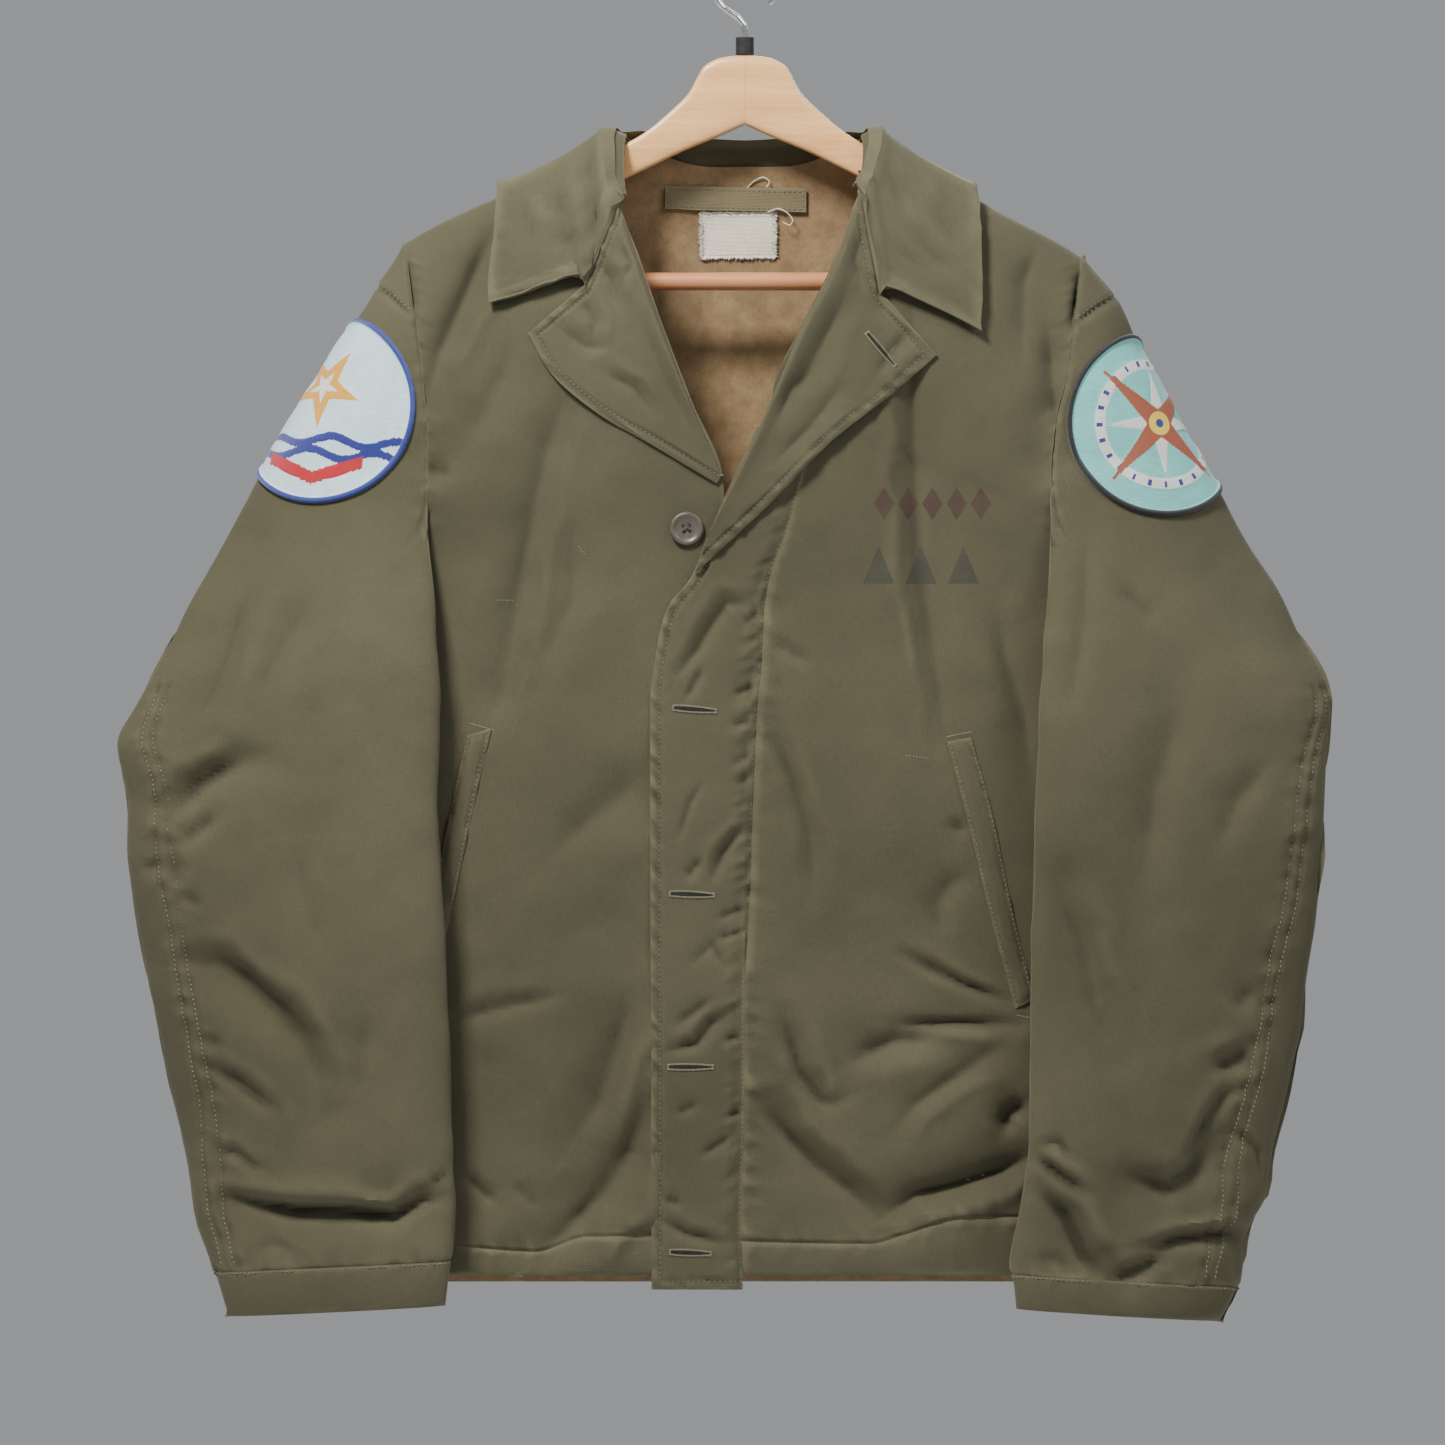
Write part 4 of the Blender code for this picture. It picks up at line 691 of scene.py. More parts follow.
def spread(count, ease=0.5):
    """Shares from 0 to 1, closer together at both ends."""
    t = np.linspace(0.0, 1.0, count)
    return t - ease * np.sin(2 * math.pi * t) / (2 * math.pi)


def grid_normals(grid, closed=False):
    if closed:
        wide = np.concatenate((grid[:, -1:], grid, grid[:, :1]), axis=1)
        along = (wide[:, 2:] - wide[:, :-2])
    else:
        along = np.gradient(grid, axis=1)
    down = np.gradient(grid, axis=0)
    return unit(np.cross(down, along))


def edge_distance(grid, edges):
    """Distance of each point of a grid from the free edges named by t, b, l, r."""
    lines = {"t": grid[0], "b": grid[-1], "l": grid[:, 0], "r": grid[:, -1]}
    flat = grid.reshape(-1, 3)
    best = np.full(len(flat), 1e9)
    for edge in edges:
        for point in lines[edge]:
            best = np.minimum(best, ((flat - point) ** 2).sum(axis=1))
    return np.sqrt(best).reshape(grid.shape[:2])


def edge_position(grid):
    """A place along the outline for each point, good enough to vary the ripples beside an edge."""
    return grid[..., 0] * 0.8 + grid[..., 2]


def rolled(grid, edges, stitch=5.0, size=1.0, seed=20, dip=0.8):
    """Rounds the free edges of a grid and ripples the band between each edge and its stitches."""
    normal = grid_normals(grid)
    d = edge_distance(grid, edges)
    s = edge_position(grid)
    out = -EDGE_ROLL * np.exp(-d / EDGE_ROUND)
    out -= groove(d - stitch * MM, 1.2, dip)
    out += pucker(d - 0.55 * stitch * MM, s, 0.75 * stitch, size, seed)
    return grid + normal * out[..., None]


def refined(coarse, row_at, column_at, rows, columns):
    """A coarse grid spread back over the fine one that it was taken from."""
    def shares(at, count):
        fine = np.arange(count)
        low = np.clip(np.searchsorted(at, fine, side="right") - 1, 0, len(at) - 2)
        at = np.array(at)
        return low, (fine - at[low]) / (at[low + 1] - at[low])
    low, w = shares(row_at, rows)
    spread_rows = coarse[low] * (1 - w)[:, None, None] + coarse[low + 1] * w[:, None, None]
    low, w = shares(column_at, columns)
    return spread_rows[:, low] * (1 - w)[None, :, None] + spread_rows[:, low + 1] * w[None, :, None]


def sunk_inside(grid, normal, wall, row_at, column_at, closed, sunk):
    """Inside of a shell at its coarse places, sunk where it would come near the fine outside."""
    rows, columns = grid.shape[:2]
    pick = np.ix_(row_at, column_at)
    inner = (grid - normal * wall)[pick]
    if not sunk:
        return inner
    if closed:
        wide = np.concatenate((inner, inner[:, :1]), axis=1)
        back = refined(wide, row_at, list(column_at) + [columns], rows, columns)
    else:
        back = refined(inner, row_at, column_at, rows, columns)
    short = 0.8 * np.broadcast_to(wall, grid.shape)[..., 0] - ((grid - back) * normal).sum(axis=2)
    short = np.clip(short, 0.0, SAG_LIMIT)
    step = INNER_STEP
    padded = np.pad(short, ((step, step), (0, 0)), mode="edge")
    padded = np.pad(padded, ((0, 0), (step, step)), mode="wrap" if closed else "edge")
    deepest = np.zeros((rows, columns))
    for i in range(2 * step + 1):
        for j in range(2 * step + 1):
            deepest = np.maximum(deepest, padded[i:i + rows, j:j + columns])
    return inner - normal[pick] * 1.5 * deepest[pick][..., None]


def new_item(name, data):
    item = bpy.data.objects.new(name, data)
    bpy.context.scene.collection.objects.link(item)
    return item


def set_uv(mesh, uv):
    """Gives each corner of a mesh the place in the cloth of its vertex."""
    layer = mesh.uv_layers.new(name="cloth")
    corner = np.zeros(len(mesh.loops), dtype=np.int32)
    mesh.loops.foreach_get("vertex_index", corner)
    layer.data.foreach_set("uv", np.array(uv)[corner].ravel())


def add_mesh(name, verts, faces, look, sharp=45):
    """A smooth mesh of one look; edges sharper than the angle stay sharp, and all are smooth without one."""
    mesh = bpy.data.meshes.new(name)
    mesh.from_pydata(verts, [], faces)
    mesh.materials.append(look)
    mesh.shade_smooth()
    if sharp:
        mesh.set_sharp_from_angle(angle=math.radians(sharp))
    return new_item(name, mesh)


class Shell:
    """Collects grids of cloth into one mesh: fine outside, coarser inside, joined along the rims."""

    def __init__(self):
        self.verts = []
        self.faces = []
        self.looks = []
        self.uvs = []
        self.count = 0

    def add(self, grid, wall, closed=False, step=INNER_STEP, inside=1, outside=0, flip=False, sunk=True):
        rows, columns = grid.shape[:2]
        if flip:
            grid = grid[:, ::-1]
        normal = grid_normals(grid, closed)
        row_at = list(range(0, rows, step))
        column_at = list(range(0, columns, step))
        if row_at[-1] != rows - 1:
            row_at.append(rows - 1)
        if not closed and column_at[-1] != columns - 1:
            column_at.append(columns - 1)
        inner = sunk_inside(grid, normal, wall, row_at, column_at, closed, sunk)
        middle = grid[rows // 2]
        across = np.concatenate(([0.0], np.cumsum(np.linalg.norm(np.diff(middle, axis=0), axis=1))))
        side = grid[:, columns // 2]
        downward = np.concatenate(([0.0], np.cumsum(np.linalg.norm(np.diff(side, axis=0), axis=1))))
        uv = np.stack(np.broadcast_arrays(across[None, :], -downward[:, None]), axis=-1)
        start = self.count
        self.verts += grid.reshape(-1, 3).tolist()
        self.uvs += uv.reshape(-1, 2).tolist()
        self.verts += inner.reshape(-1, 3).tolist()
        self.uvs += uv[np.ix_(row_at, column_at)].reshape(-1, 2).tolist()
        second = start + rows * columns
        self.count = second + len(row_at) * len(column_at)
        wide = columns if closed else columns - 1
        for i in range(rows - 1):
            a, b = start + i * columns, start + (i + 1) * columns
            for j in range(wide):
                n = (j + 1) % columns
                self.faces.append((a + j, b + j, b + n, a + n))
        self.looks += [outside] * ((rows - 1) * wide)
        many = len(column_at)
        wide_in = many if closed else many - 1
        for i in range(len(row_at) - 1):
            a, b = second + i * many, second + (i + 1) * many
            for j in range(wide_in):
                n = (j + 1) % many
                self.faces.append((a + j, a + n, b + n, b + j))
        self.looks += [inside] * ((len(row_at) - 1) * wide_in)
        for i, inner_row in ((0, 0), (rows - 1, len(row_at) - 1)):
            for j in range(wide_in):
                first = column_at[j]
                last = column_at[(j + 1) % many] if j + 1 < many or not closed else columns
                fine = [start + i * columns + c % columns for c in range(first, last + 1)]
                low, high = second + inner_row * many + j, second + inner_row * many + (j + 1) % many
                face = fine + [high, low]
                self.faces.append(tuple(face) if i == 0 else tuple(face[::-1]))
                self.looks.append(outside)
        if closed:
            return
        for j, inner_column in ((0, 0), (columns - 1, many - 1)):
            for i in range(len(row_at) - 1):
                fine = [start + r * columns + j for r in range(row_at[i], row_at[i + 1] + 1)]
                low, high = second + i * many + inner_column, second + (i + 1) * many + inner_column
                face = fine + [high, low]
                self.faces.append(tuple(face[::-1]) if j == 0 else tuple(face))
                self.looks.append(outside)

    def build(self, name, looks, sharp=50):
        mesh = bpy.data.meshes.new(name)
        mesh.from_pydata(self.verts, [], self.faces)
        for look in looks:
            mesh.materials.append(look)
        mesh.polygons.foreach_set("material_index", [min(k, len(looks) - 1) for k in self.looks])
        set_uv(mesh, self.uvs)
        mesh.update()
        mesh.shade_smooth()
        mesh.set_sharp_from_angle(angle=math.radians(sharp))
        return new_item(name, mesh)


def finish_piece(item, slot, nodes=()):
    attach(item, "root")
    if nodes:
        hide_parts(*nodes)
    return item


def cloth_piece(name, grid, wall, looks, slot, node, **options):
    """A piece of cloth made of one grid, in the place of one node of the model."""
    shell = Shell()
    shell.add(grid, wall, **options)
    return finish_piece(shell.build(name, looks), slot, [node])


# Fronts, back and lining


def front_grid(side, rows, columns, top_t=0.0, band=False):
    """Points of a front from its own edge to the armhole or side seam, or of its hem band."""
    t = spread(rows, 0.6)[:, None] if not band else np.linspace(0.0, 1.0, rows)[:, None]
    t = top_t + (1 - top_t) * t
    u = np.linspace(0.0, 1.0, columns)[None, :]
    s = 1.0 - (1.0 - u) ** 1.25
    tip = TIP[side]

    def depth_at(x, top):
        seam = hem_seam(x)
        if band:
            return seam - 0.2 * MM + (HEM_FRONT - seam) * t
        return top + (seam - top) * t

    z_outer = depth_at(side * 0.262, tip)
    outer = side * (armhole_x(side, z_outer) - SEAM_GAP)
    edge = curve_mm(FRONT_EDGE[side], z_outer)
    for _ in range(6):
        edge = curve_mm(FRONT_EDGE[side], depth_at(edge, ridge(edge)))
    x = edge + (outer - edge) * s
    top = ridge(x) + (tip - ridge(outer)) * s ** 3
    z = depth_at(x, top)
    grid = front_point(x, z)
    grid[..., 1] = np.minimum(grid[..., 1], -0.2 * MM)
    if side < 0:
        under = curve_mm(PLACKET_EDGE, z)
        inside = smooth_step((x - under - 2 * MM) / (7 * MM)) * (z < PLACKET_TOP)
        grid[..., 1] += 3.5 * MM * inside
    return grid


def build_front(side, word, looks):
    grid = front_grid(side, *FRONT_GRID)
    cloth_piece("cloth_front_" + word, grid, WALL, looks, COTTON, "front_" + word, flip=side < 0)
    band = front_grid(side, *BAND_GRID, band=True)
    t = np.linspace(0.0, 1.0, BAND_GRID[0])[:, None]
    band[..., 1] -= 1.1 * MM * np.sin(math.pi * t) ** 0.6
    band = rolled(band if side > 0 else band[:, ::-1], "b", 3.0, 0.3, 31 + side, 0.0)
    cloth_piece("hem_band_front_" + word, band, HEM_WALL, looks[:1], COTTON, "hem_front_" + word)
    return band


def back_neck(x):
    share = np.minimum(1.0, np.abs(x) / (73 * MM))
    return 39 * MM * (1.0 - share ** 2.4)


def back_places(t, s, bottom):
    """x, z of the back's points for shares down and across."""
    side_tip = np.where(s < 0, TIP[-1], TIP[1])
    z_side = side_tip + (bottom - side_tip) * t
    edge = np.where(s < 0, armhole_x(-1, z_side), armhole_x(1, z_side)) - SEAM_GAP
    x = s * edge
    top = ridge(x) - back_neck(x) + (side_tip - ridge(np.sign(s) * edge)) * np.abs(s) ** 3
    return x, top + (bottom - top) * t


def build_back(cloth, wool):
    rows, columns = BACK_GRID
    u = np.linspace(-1.0, 1.0, columns)[None, :]
    s = np.sign(u) * (1.0 - (1.0 - np.abs(u)) ** 1.2)
    t = spread(rows, 0.6)[:, None]
    seam = HEM_BACK + HEM_BAND
    x, z = back_places(t, s, seam)
    grid = back_point(x, z)
    grid[..., 1] = np.maximum(grid[..., 1], 0.2 * MM)
    cloth_piece("cloth_back", grid, WALL, (cloth, wool), COTTON, "back", flip=True)
    x_band, _ = back_places(np.ones((1, 1)), s, seam)
    fall = np.linspace(0.2 * MM, HEM_BAND, BAND_GRID[0])[:, None]
    band = back_point(x_band + 0 * fall, seam - fall)
    band[..., 1] += 1.0 * MM * np.sin(math.pi * fall / HEM_BAND) ** 0.6
    band = rolled(band[:, ::-1], "b", 3.0, 0.3, 35, 0.0)
    cloth_piece("hem_band_back", band, HEM_WALL, (cloth,), COTTON, "hem_back")
    inner = (np.abs(u) < 0.975)[0]
    t = np.concatenate([np.linspace(*part) for part in LINING_PARTS])[:, None]
    x, z = back_places(t, s[:, inner], HEM_BACK + 1 * MM)
    neck = (1 - smooth_step(t / 0.03)) * (1 - smooth_step((np.abs(x) - 56 * MM) / (10 * MM)))
    z = z + NECK_OVERLAP * neck
    inset = LINING_RIM + (LINING_INSET + LINING_WALL - LINING_RIM) * smooth_step(t / 0.03)
    inset = inset + LINING_BELOW * smooth_step((t - 0.25) / 0.08)
    grid = moved_out(back_point, x, z, -inset + 0 * x)
    cloth_piece("wool_lining", grid, LINING_WALL, (wool,), "brown_wool", "back_lining", sunk=False)


# Placket, lapels and collar


def placket_point(x, z, lift=0.0):
    seam = curve_mm(FRONT_EDGE[1], z)
    rise = PLACKET_LIFT * smooth_step((seam - x) / PLACKET_RISE)
    near = smooth_step((x - seam + 6 * MM) / (6 * MM))
    y = plain_front_y(x, z) * (1 - near) + front_y(x, z) * near
    y = y - rise + relief(PLACKET, x, z) * 1.35 * (1 - near)
    y = y + 0.5 * MM * noise(x, z, 24 * MM, 14) * (1 - near)
    y = y + pucker(seam - x, z, 10, 1.6, 15) * (1 - near) - lift
    return stack(x, y, z)


def placket_grid():
    z = np.linspace(PLACKET_TOP, HEM_FRONT, PLACKET_GRID[0])[:, None]
    s = np.linspace(0.0, 1.0, PLACKET_GRID[1])[None, :]
    left = curve_mm(PLACKET_EDGE, z)
    right = curve_mm(FRONT_EDGE[1], z) - 0.1 * MM
    low = PLACKET_HANG * smooth_step((-765 * MM - z) / (29 * MM))
    x = left + (right - left) * s
    grid = placket_point(x, z - low + 0 * s)
    return rolled(grid, "lb", 5.4, 1.3, 16, 0.7)


def lapel_place(side, along, across):
    """x, z of a lapel: along its roll line, and across to its outer edge."""
    first = LAPEL[side][0]
    start = np.array(first[1:3], dtype=float)
    tip = np.array(first[3:5], dtype=float)
    notch = np.array(NOTCH[side], dtype=float)
    bend = LAPEL_BEND
    roll = curve_pair(LAPEL[side], along, 1)
    outer = curve_pair(LAPEL[side], along, 3)
    a = np.asarray(across)[..., None]
    corner = np.where(a < bend, start + (notch - start) * a / bend,
                      notch + (tip - notch) * (a - bend) / (1 - bend))
    bulge = corner - (start + (tip - start) * a)
    fade = (np.clip(1 - np.asarray(along), 0, 1) ** 1.5)[..., None]
    place = (roll + (outer - roll) * a + bulge * fade) * MM
    return place[..., 0], place[..., 1]


def lapel_grid(side):
    rows, columns = LAPEL_GRID
    along = spread(rows, 0.3)[:, None] + np.zeros((1, columns))
    across = np.linspace(0.0, 1.0, columns)[None, :] ** LAPEL_EASE + np.zeros((rows, 1))
    x, z = lapel_place(side, along, across)
    roll = LAPEL_ROLL * np.sin(math.pi * np.minimum(1, along + 0.08) ** 0.7)
    base = LAPEL_LIFT + 0.5 * MM
    if side > 0:
        base = base + PLACKET_LIFT * smooth_step((PLACKET_TOP + 22 * MM - z) / (30 * MM))
    turn = np.sqrt(1 - (1 - np.minimum(across / 0.07, 1)) ** 2)
    lift = (base + roll * np.exp(-((across - 0.07) / 0.2) ** 2)) * turn
    lift = lift + 1.6 * MM * across ** 2 * (1 - along) ** 0.5
    lift = lift - relief(LAPEL_CREASES, x, z) * smooth_step(across / 0.12)
    lift = lift + 0.5 * MM * noise(x, z, 26 * MM, 17) * smooth_step(across / 0.12)
    grid = moved_out(plain_front_point, x, z, lift, 1.0 * MM)
    grid = grid if side > 0 else grid[:, ::-1]
    return rolled(grid, "tr" if side > 0 else "tl", 5.0, 1.35, 18 + side)


def gorge_bulge(k, t):
    last = len(COLLAR) - 1
    total = np.zeros(np.broadcast_shapes(k.shape, t.shape) + (2,))
    for end, row in ((0, COLLAR[0]), (1, COLLAR[-1])):
        roll, edge = np.array(row[2:4], dtype=float), np.array(row[4:6], dtype=float)
        notch = np.array(COLLAR_NOTCH[end], dtype=float)
        w = t[..., None]
        bent = np.where(w < GORGE, roll + (notch - roll) * w / GORGE,
                        notch + (edge - notch) * (w - GORGE) / (1 - GORGE))
        mine = (k < last / 2) if end == 0 else (k >= last / 2)
        fade = np.maximum(0.0, 1 - np.minimum(k, last - k) / 2.2) ** 1.6 * mine
        total = total + (bent - (roll + (edge - roll) * w)) * fade[..., None]
    return total


def collar_grid():
    rows = [(i, *row) for i, row in enumerate(COLLAR)]
    down, round_neck = COLLAR_GRID
    k = (spread(round_neck, 0.25) * (len(rows) - 1))[None, :] + np.zeros((down, 1))
    share = np.linspace(0.0, 1.0, down)[:, None] + np.zeros((1, round_neck))
    seam, roll, edge = (curve_pair(rows, k, column) for column in (1, 3, 5))
    top = curve(rows, k, 7) * MM
    t = np.clip((share - STAND) / (1 - STAND), 0, 1)
    stand = seam + (roll - seam) * np.clip(share / STAND, 0, 1)[..., None]
    leaf = roll + (edge - roll) * t[..., None] + gorge_bulge(k, t)
    place = np.where((share < STAND)[..., None], stand, leaf) * MM
    lift = np.where(share < STAND, 0.3 * MM + (top - 2.4 * MM) * smooth_step(share / STAND),
                    COLLAR_LIFT + (top - COLLAR_LIFT) * np.exp(-(t / 0.3) ** 2))
    x, d = place[..., 0], place[..., 1]
    z = ridge(x) - np.abs(d)
    worn = smooth_step(t / 0.15)
    in_front = smooth_step(-d / (10 * MM))
    lift = lift + worn * (1.2 * MM * t ** 2 - relief(COLLAR_CREASES, x, z) * in_front
                          + 0.6 * MM * noise(x, d, 30 * MM, 21))
    grid = moved_out(plain_over_point, x, d, lift, 1.0 * MM)
    return rolled(grid, "blr", 5.0, 1.35, 22)


def joined_gorge(collar, lapel, side):
    """Draws the end of the collar to the top of the lapel, as the gorge seam does, down to the notch."""
    rows = len(collar)
    top = lapel[2] if side > 0 else lapel[2][::-1]
    at_top = np.linspace(0.0, 1.0, len(top)) ** LAPEL_EASE
    share = np.linspace(0.0, 1.0, rows)
    t = np.clip((share - STAND) / (1 - STAND), 0.0, 1.0)
    goal_at = np.minimum(t / GORGE, 1.0) * LAPEL_BEND
    goal = np.stack([np.interp(goal_at, at_top, top[:, i]) for i in range(3)], axis=1)
    goal[:, 1] -= GORGE_OVERLAP
    flat = collar if side < 0 else collar[:, ::-1]
    pull = goal - flat[:, 0]
    held = np.where(t > 0, 1 - smooth_step((t - GORGE) / 0.12), smooth_step((share - 0.1) / 0.2))
    steps = np.linalg.norm(np.diff(flat, axis=1), axis=2)
    reach = np.concatenate((np.zeros((rows, 1)), np.cumsum(steps, axis=1)), axis=1)
    near = 1 - smooth_step(reach / GORGE_PULL)
    flat = flat + pull[:, None, :] * (held[:, None] * near)[..., None]
    return flat if side < 0 else flat[:, ::-1]


# Sleeves


def sleeve_base(side, z, v):
    """Point of a sleeve: v runs 0 to 1 over the front wall, to 2 over the back wall to its middle, and
    to 3 along the layer that lies on the body, back to the inner fold."""
    z, v = np.broadcast_arrays(np.asarray(z, dtype=float), np.asarray(v, dtype=float))
    outer = curve_mm(SLEEVE[side], z, 1)
    inner = curve_mm(SLEEVE[side], z, 2)
    closed = curve_mm(SLEEVE_DEPTH, z, 5) / MM
    y_outer = curve_mm(SLEEVE_DEPTH, z, 2)
    bulge = curve_mm(SLEEVE_DEPTH, z, 4)
    joined = smooth_step((z + 345 * MM) / (45 * MM))
    y_inner = joined * plain_front_y(side * inner, z) + (1 - joined) * curve_mm(SLEEVE_DEPTH, z, 1)
    above = z > UNDERARM
    arm = curve_mm(ARMHOLE[side], z) + ARMHOLE_GAP / 2
    seam_x = side * (arm - ARMHOLE_GAP)
    plain_back = half_depth(BACK_DEPTH, ridge(seam_x) - z) * side_round(seam_x, z)
    low_edge = curve_mm(BODY_WIDTH, z) + 6 * MM * smooth_step((UNDERARM - z) / (14 * MM)) + 1.0 * MM
    back_edge = np.where(above, arm, low_edge)
    y_back = np.where(above, plain_back, curve_mm(SLEEVE_DEPTH, z, 3))
    y_front_edge = np.where(above, plain_front_y(seam_x, z) - LAYER_GAP, curve_mm(SLEEVE_DEPTH, z, 3))
    v1 = np.clip(v, 0.0, 1.0)
    quarter_x = inner + (outer - inner) * np.sin(v1 * math.pi / 2)
    quarter_y = y_outer + (y_inner - y_outer) * np.cos(v1 * math.pi / 2)
    share = (1 - np.cos(v1 * math.pi)) / 2
    lens_x = inner + (outer - inner) * share
    lens_y = y_inner + (y_outer - y_inner) * share - bulge * np.sin(v1 * math.pi) ** 0.8
    x = quarter_x + (lens_x - quarter_x) * closed
    y = quarter_y + (lens_y - quarter_y) * closed
    t = (np.clip(v, 1.0, 2.0) - 1) * math.pi / 2
    x = np.where(v > 1, outer + (back_edge - outer) * (1 - np.cos(t)), x)
    y = np.where(v > 1, y_outer + (y_back - y_outer) * np.sin(t), y)
    t = (np.clip(v, 2.0, 3.0) - 2) * math.pi / 2
    x3 = back_edge + (inner - back_edge) * np.sin(t) ** 1.6
    y3 = y_front_edge + (y_inner - y_front_edge) * (1 - np.cos(t))
    near = smooth_step((back_edge - x3) / (6 * MM))
    limit = plain_front_y(side * x3, z) - LAYER_GAP - (SLEEVE_REST - LAYER_GAP) * near
    x = np.where(v > 2, x3, x)
    y = np.where(v > 2, np.minimum(y3, limit), y)
    fold = fold_depth(SLEEVE_FOLDS[side], side * x, z)
    y = y + np.where(v < 1, fold * np.sin(v1 * math.pi), 0.0)
    y = y - np.where((v > 1) & (v < 2), 0.6 * fold * np.sin((v - 1) * math.pi), 0.0)
    tilt_share = (x - inner) / (outer - inner)
    tilt = CUFF[side][2] * MM * tilt_share * smooth_step((-460 * MM - z) / (300 * MM))
    return stack(side * x, y, z - tilt)


def sleeve_normal(side, z, v):
    dz, dv = 0.6 * MM, 0.004
    down = sleeve_base(side, z - dz, v) - sleeve_base(side, z + dz, v)
    along = sleeve_base(side, z, np.asarray(v) + dv) - sleeve_base(side, z, np.asarray(v) - dv)
    return side * unit(np.cross(down, along))


def fell_place(side, z, row):
    """Distance from the middle of the sleeve's stitched row at a depth."""
    return curve_mm(SLEEVE[side], z, 1) - curve_mm(FELLED_ROWS[side], z, row)


def sleeve_point(side, z, v, lift=0.0):
    z, v = np.broadcast_arrays(np.asarray(z, dtype=float), np.asarray(v, dtype=float))
    base = sleeve_base(side, z, v)
    x, low = base[..., 0], base[..., 2]
    creases = RIGHT_SLEEVE if side < 0 else LEFT_SLEEVE
    fade = [np.clip(np.sin(np.clip(v - wall, 0, 1) * math.pi), 0, 1) for wall in (0, 1)]
    front = relief(creases, x, low) * 1.2 * fade[0] ** 0.25
    behind = relief(SLEEVE_BACKS, np.abs(x), low) * 0.9 * fade[1] ** 0.4
    sink = np.where(v <= 1, front, np.where(v < 2, behind, 0.0))
    open_part = np.where(v < 2, 1.0, 0.0)
    waves = 1.2 * MM * noise(x + v * 60 * MM, low, 44 * MM, 24 + side)
    waves = waves + 0.45 * MM * noise(x, low, 16 * MM, 27)
    sink = sink + waves * open_part
    on_front = (v < 1) & (low < -440 * MM)
    for row, seed in ((1, 40), (2, 41)):
        d = np.abs(x) - fell_place(side, low, row)
        sink = sink + np.where(on_front, groove(d, 1.4, 0.9) + pucker(d, low, 5.5, 1.1, seed), 0.0)
    cuff = low - (CUFF[side][0] * MM - CUFF[side][2] * MM * np.clip((np.abs(x) - 0.18) / 0.13, 0, 1))
    sink = sink + (pucker(cuff, x, 9, 1.0, 43) + groove(cuff, 1.4, 1.2)) * open_part
    arm = np.where((low > UNDERARM) & (v < 1), np.abs(x) - curve_mm(ARMHOLE[side], low), 1.0)
    beside = np.clip(1 - v / 0.18, 0.0, 1.0)
    sink = sink + (pucker(arm, low, 9, 0.8, 44) + groove(arm, 1.6, 1.2)) * beside
    sink = sink + relief(CAP_SEAMS, x, low) * (v < 1.2)
    sink = sink * smooth_step((TIP[side] - z) / (14 * MM))
    out = np.asarray(lift) - sink
    return base + sleeve_normal(side, z, v) * out[..., None]


def oriented(grid, side):
    return grid if side > 0 else grid[:, ::-1]


def build_sleeve(side, word, cloth):
    tip = TIP[side]
    seam = CUFF[side][0] * MM
    share = np.linspace(0, 1, SLEEVE_ROWS)
    z = (tip + (seam - tip) * (0.25 * share ** 2 + 0.75 * share))[:, None]
    v = np.concatenate((spread(88, 0.35) * 0.999, 1 + spread(46, 0.2)[1:]))[None, :]
    grid = sleeve_point(side, z, v)
    shell = Shell()
    thin = THIN_EDGE + (WALL - THIN_EDGE) * np.abs(np.sin(math.pi * v)) ** 0.7 + 0 * z
    shell.add(oriented(grid, side), oriented(thin, side)[..., None])
    z = np.linspace(SLEEVE_SPLIT, seam, UNDER_ROWS)[:, None]
    v = np.concatenate(([2.0001], np.linspace(2.03, 3.0, 24)))[None, :]
    shell.add(oriented(sleeve_point(side, z, v), side), THIN_EDGE * 2)
    sleeve = shell.build("cloth_sleeve_" + word, (cloth,))
    finish_piece(sleeve, COTTON, ["sleeve_top_" + word, "sleeve_under_" + word])
    edge = CUFF[side][1] * MM
    z = np.linspace(seam - 0.2 * MM, edge, CUFF_ROWS)[:, None]
    v = np.concatenate((np.linspace(0, 2, 220), np.linspace(2, 3, 28)[1:-1]))[None, :]
    band = sleeve_base(side, z, v)
    swell = 1.0 * MM * np.sin(math.pi * np.linspace(0, 1, CUFF_ROWS)[:, None]) ** 0.6
    x, low = band[..., 0], band[..., 2]
    out = swell + pucker(low - seam, x, 10, 0.6, 46) * (v < 2)
    out = out - EDGE_ROLL * np.exp(-(low - low[-1]) / EDGE_ROUND)
    away = np.clip(np.abs(np.sin(math.pi * v)) * 4, 0.0, 1.0)
    band = band + sleeve_normal(side, z, v) * (out * np.where(v < 2, 1.0, 0.2) * away)[..., None]
    wall = oriented(0.6 * MM + 1.4 * MM * away + 0 * z, side)[..., None]
    cloth_piece("cuff_band_" + word, oriented(band, side), wall, (cloth,), COTTON, "cuff_" + word,
                closed=True)


def find_v(side, x, z):
    """v of the front wall's points with these distances from the middle, for arrays of x and z."""
    low, high = np.zeros(np.shape(x)), np.ones(np.shape(x))
    for _ in range(26):
        middle = (low + high) / 2
        short = np.abs(sleeve_base(side, z, middle)[..., 0]) < x
        low, high = np.where(short, middle, low), np.where(short, high, middle)
    return (low + high) / 2


# Sewing


def normals_of(place, a, b, step=0.8 * MM):
    raised = moved_out(place, a, b, np.full(np.shape(np.broadcast_arrays(a, b)[0]), 1.0 * MM), step)
    return unit(raised - place(a, b))


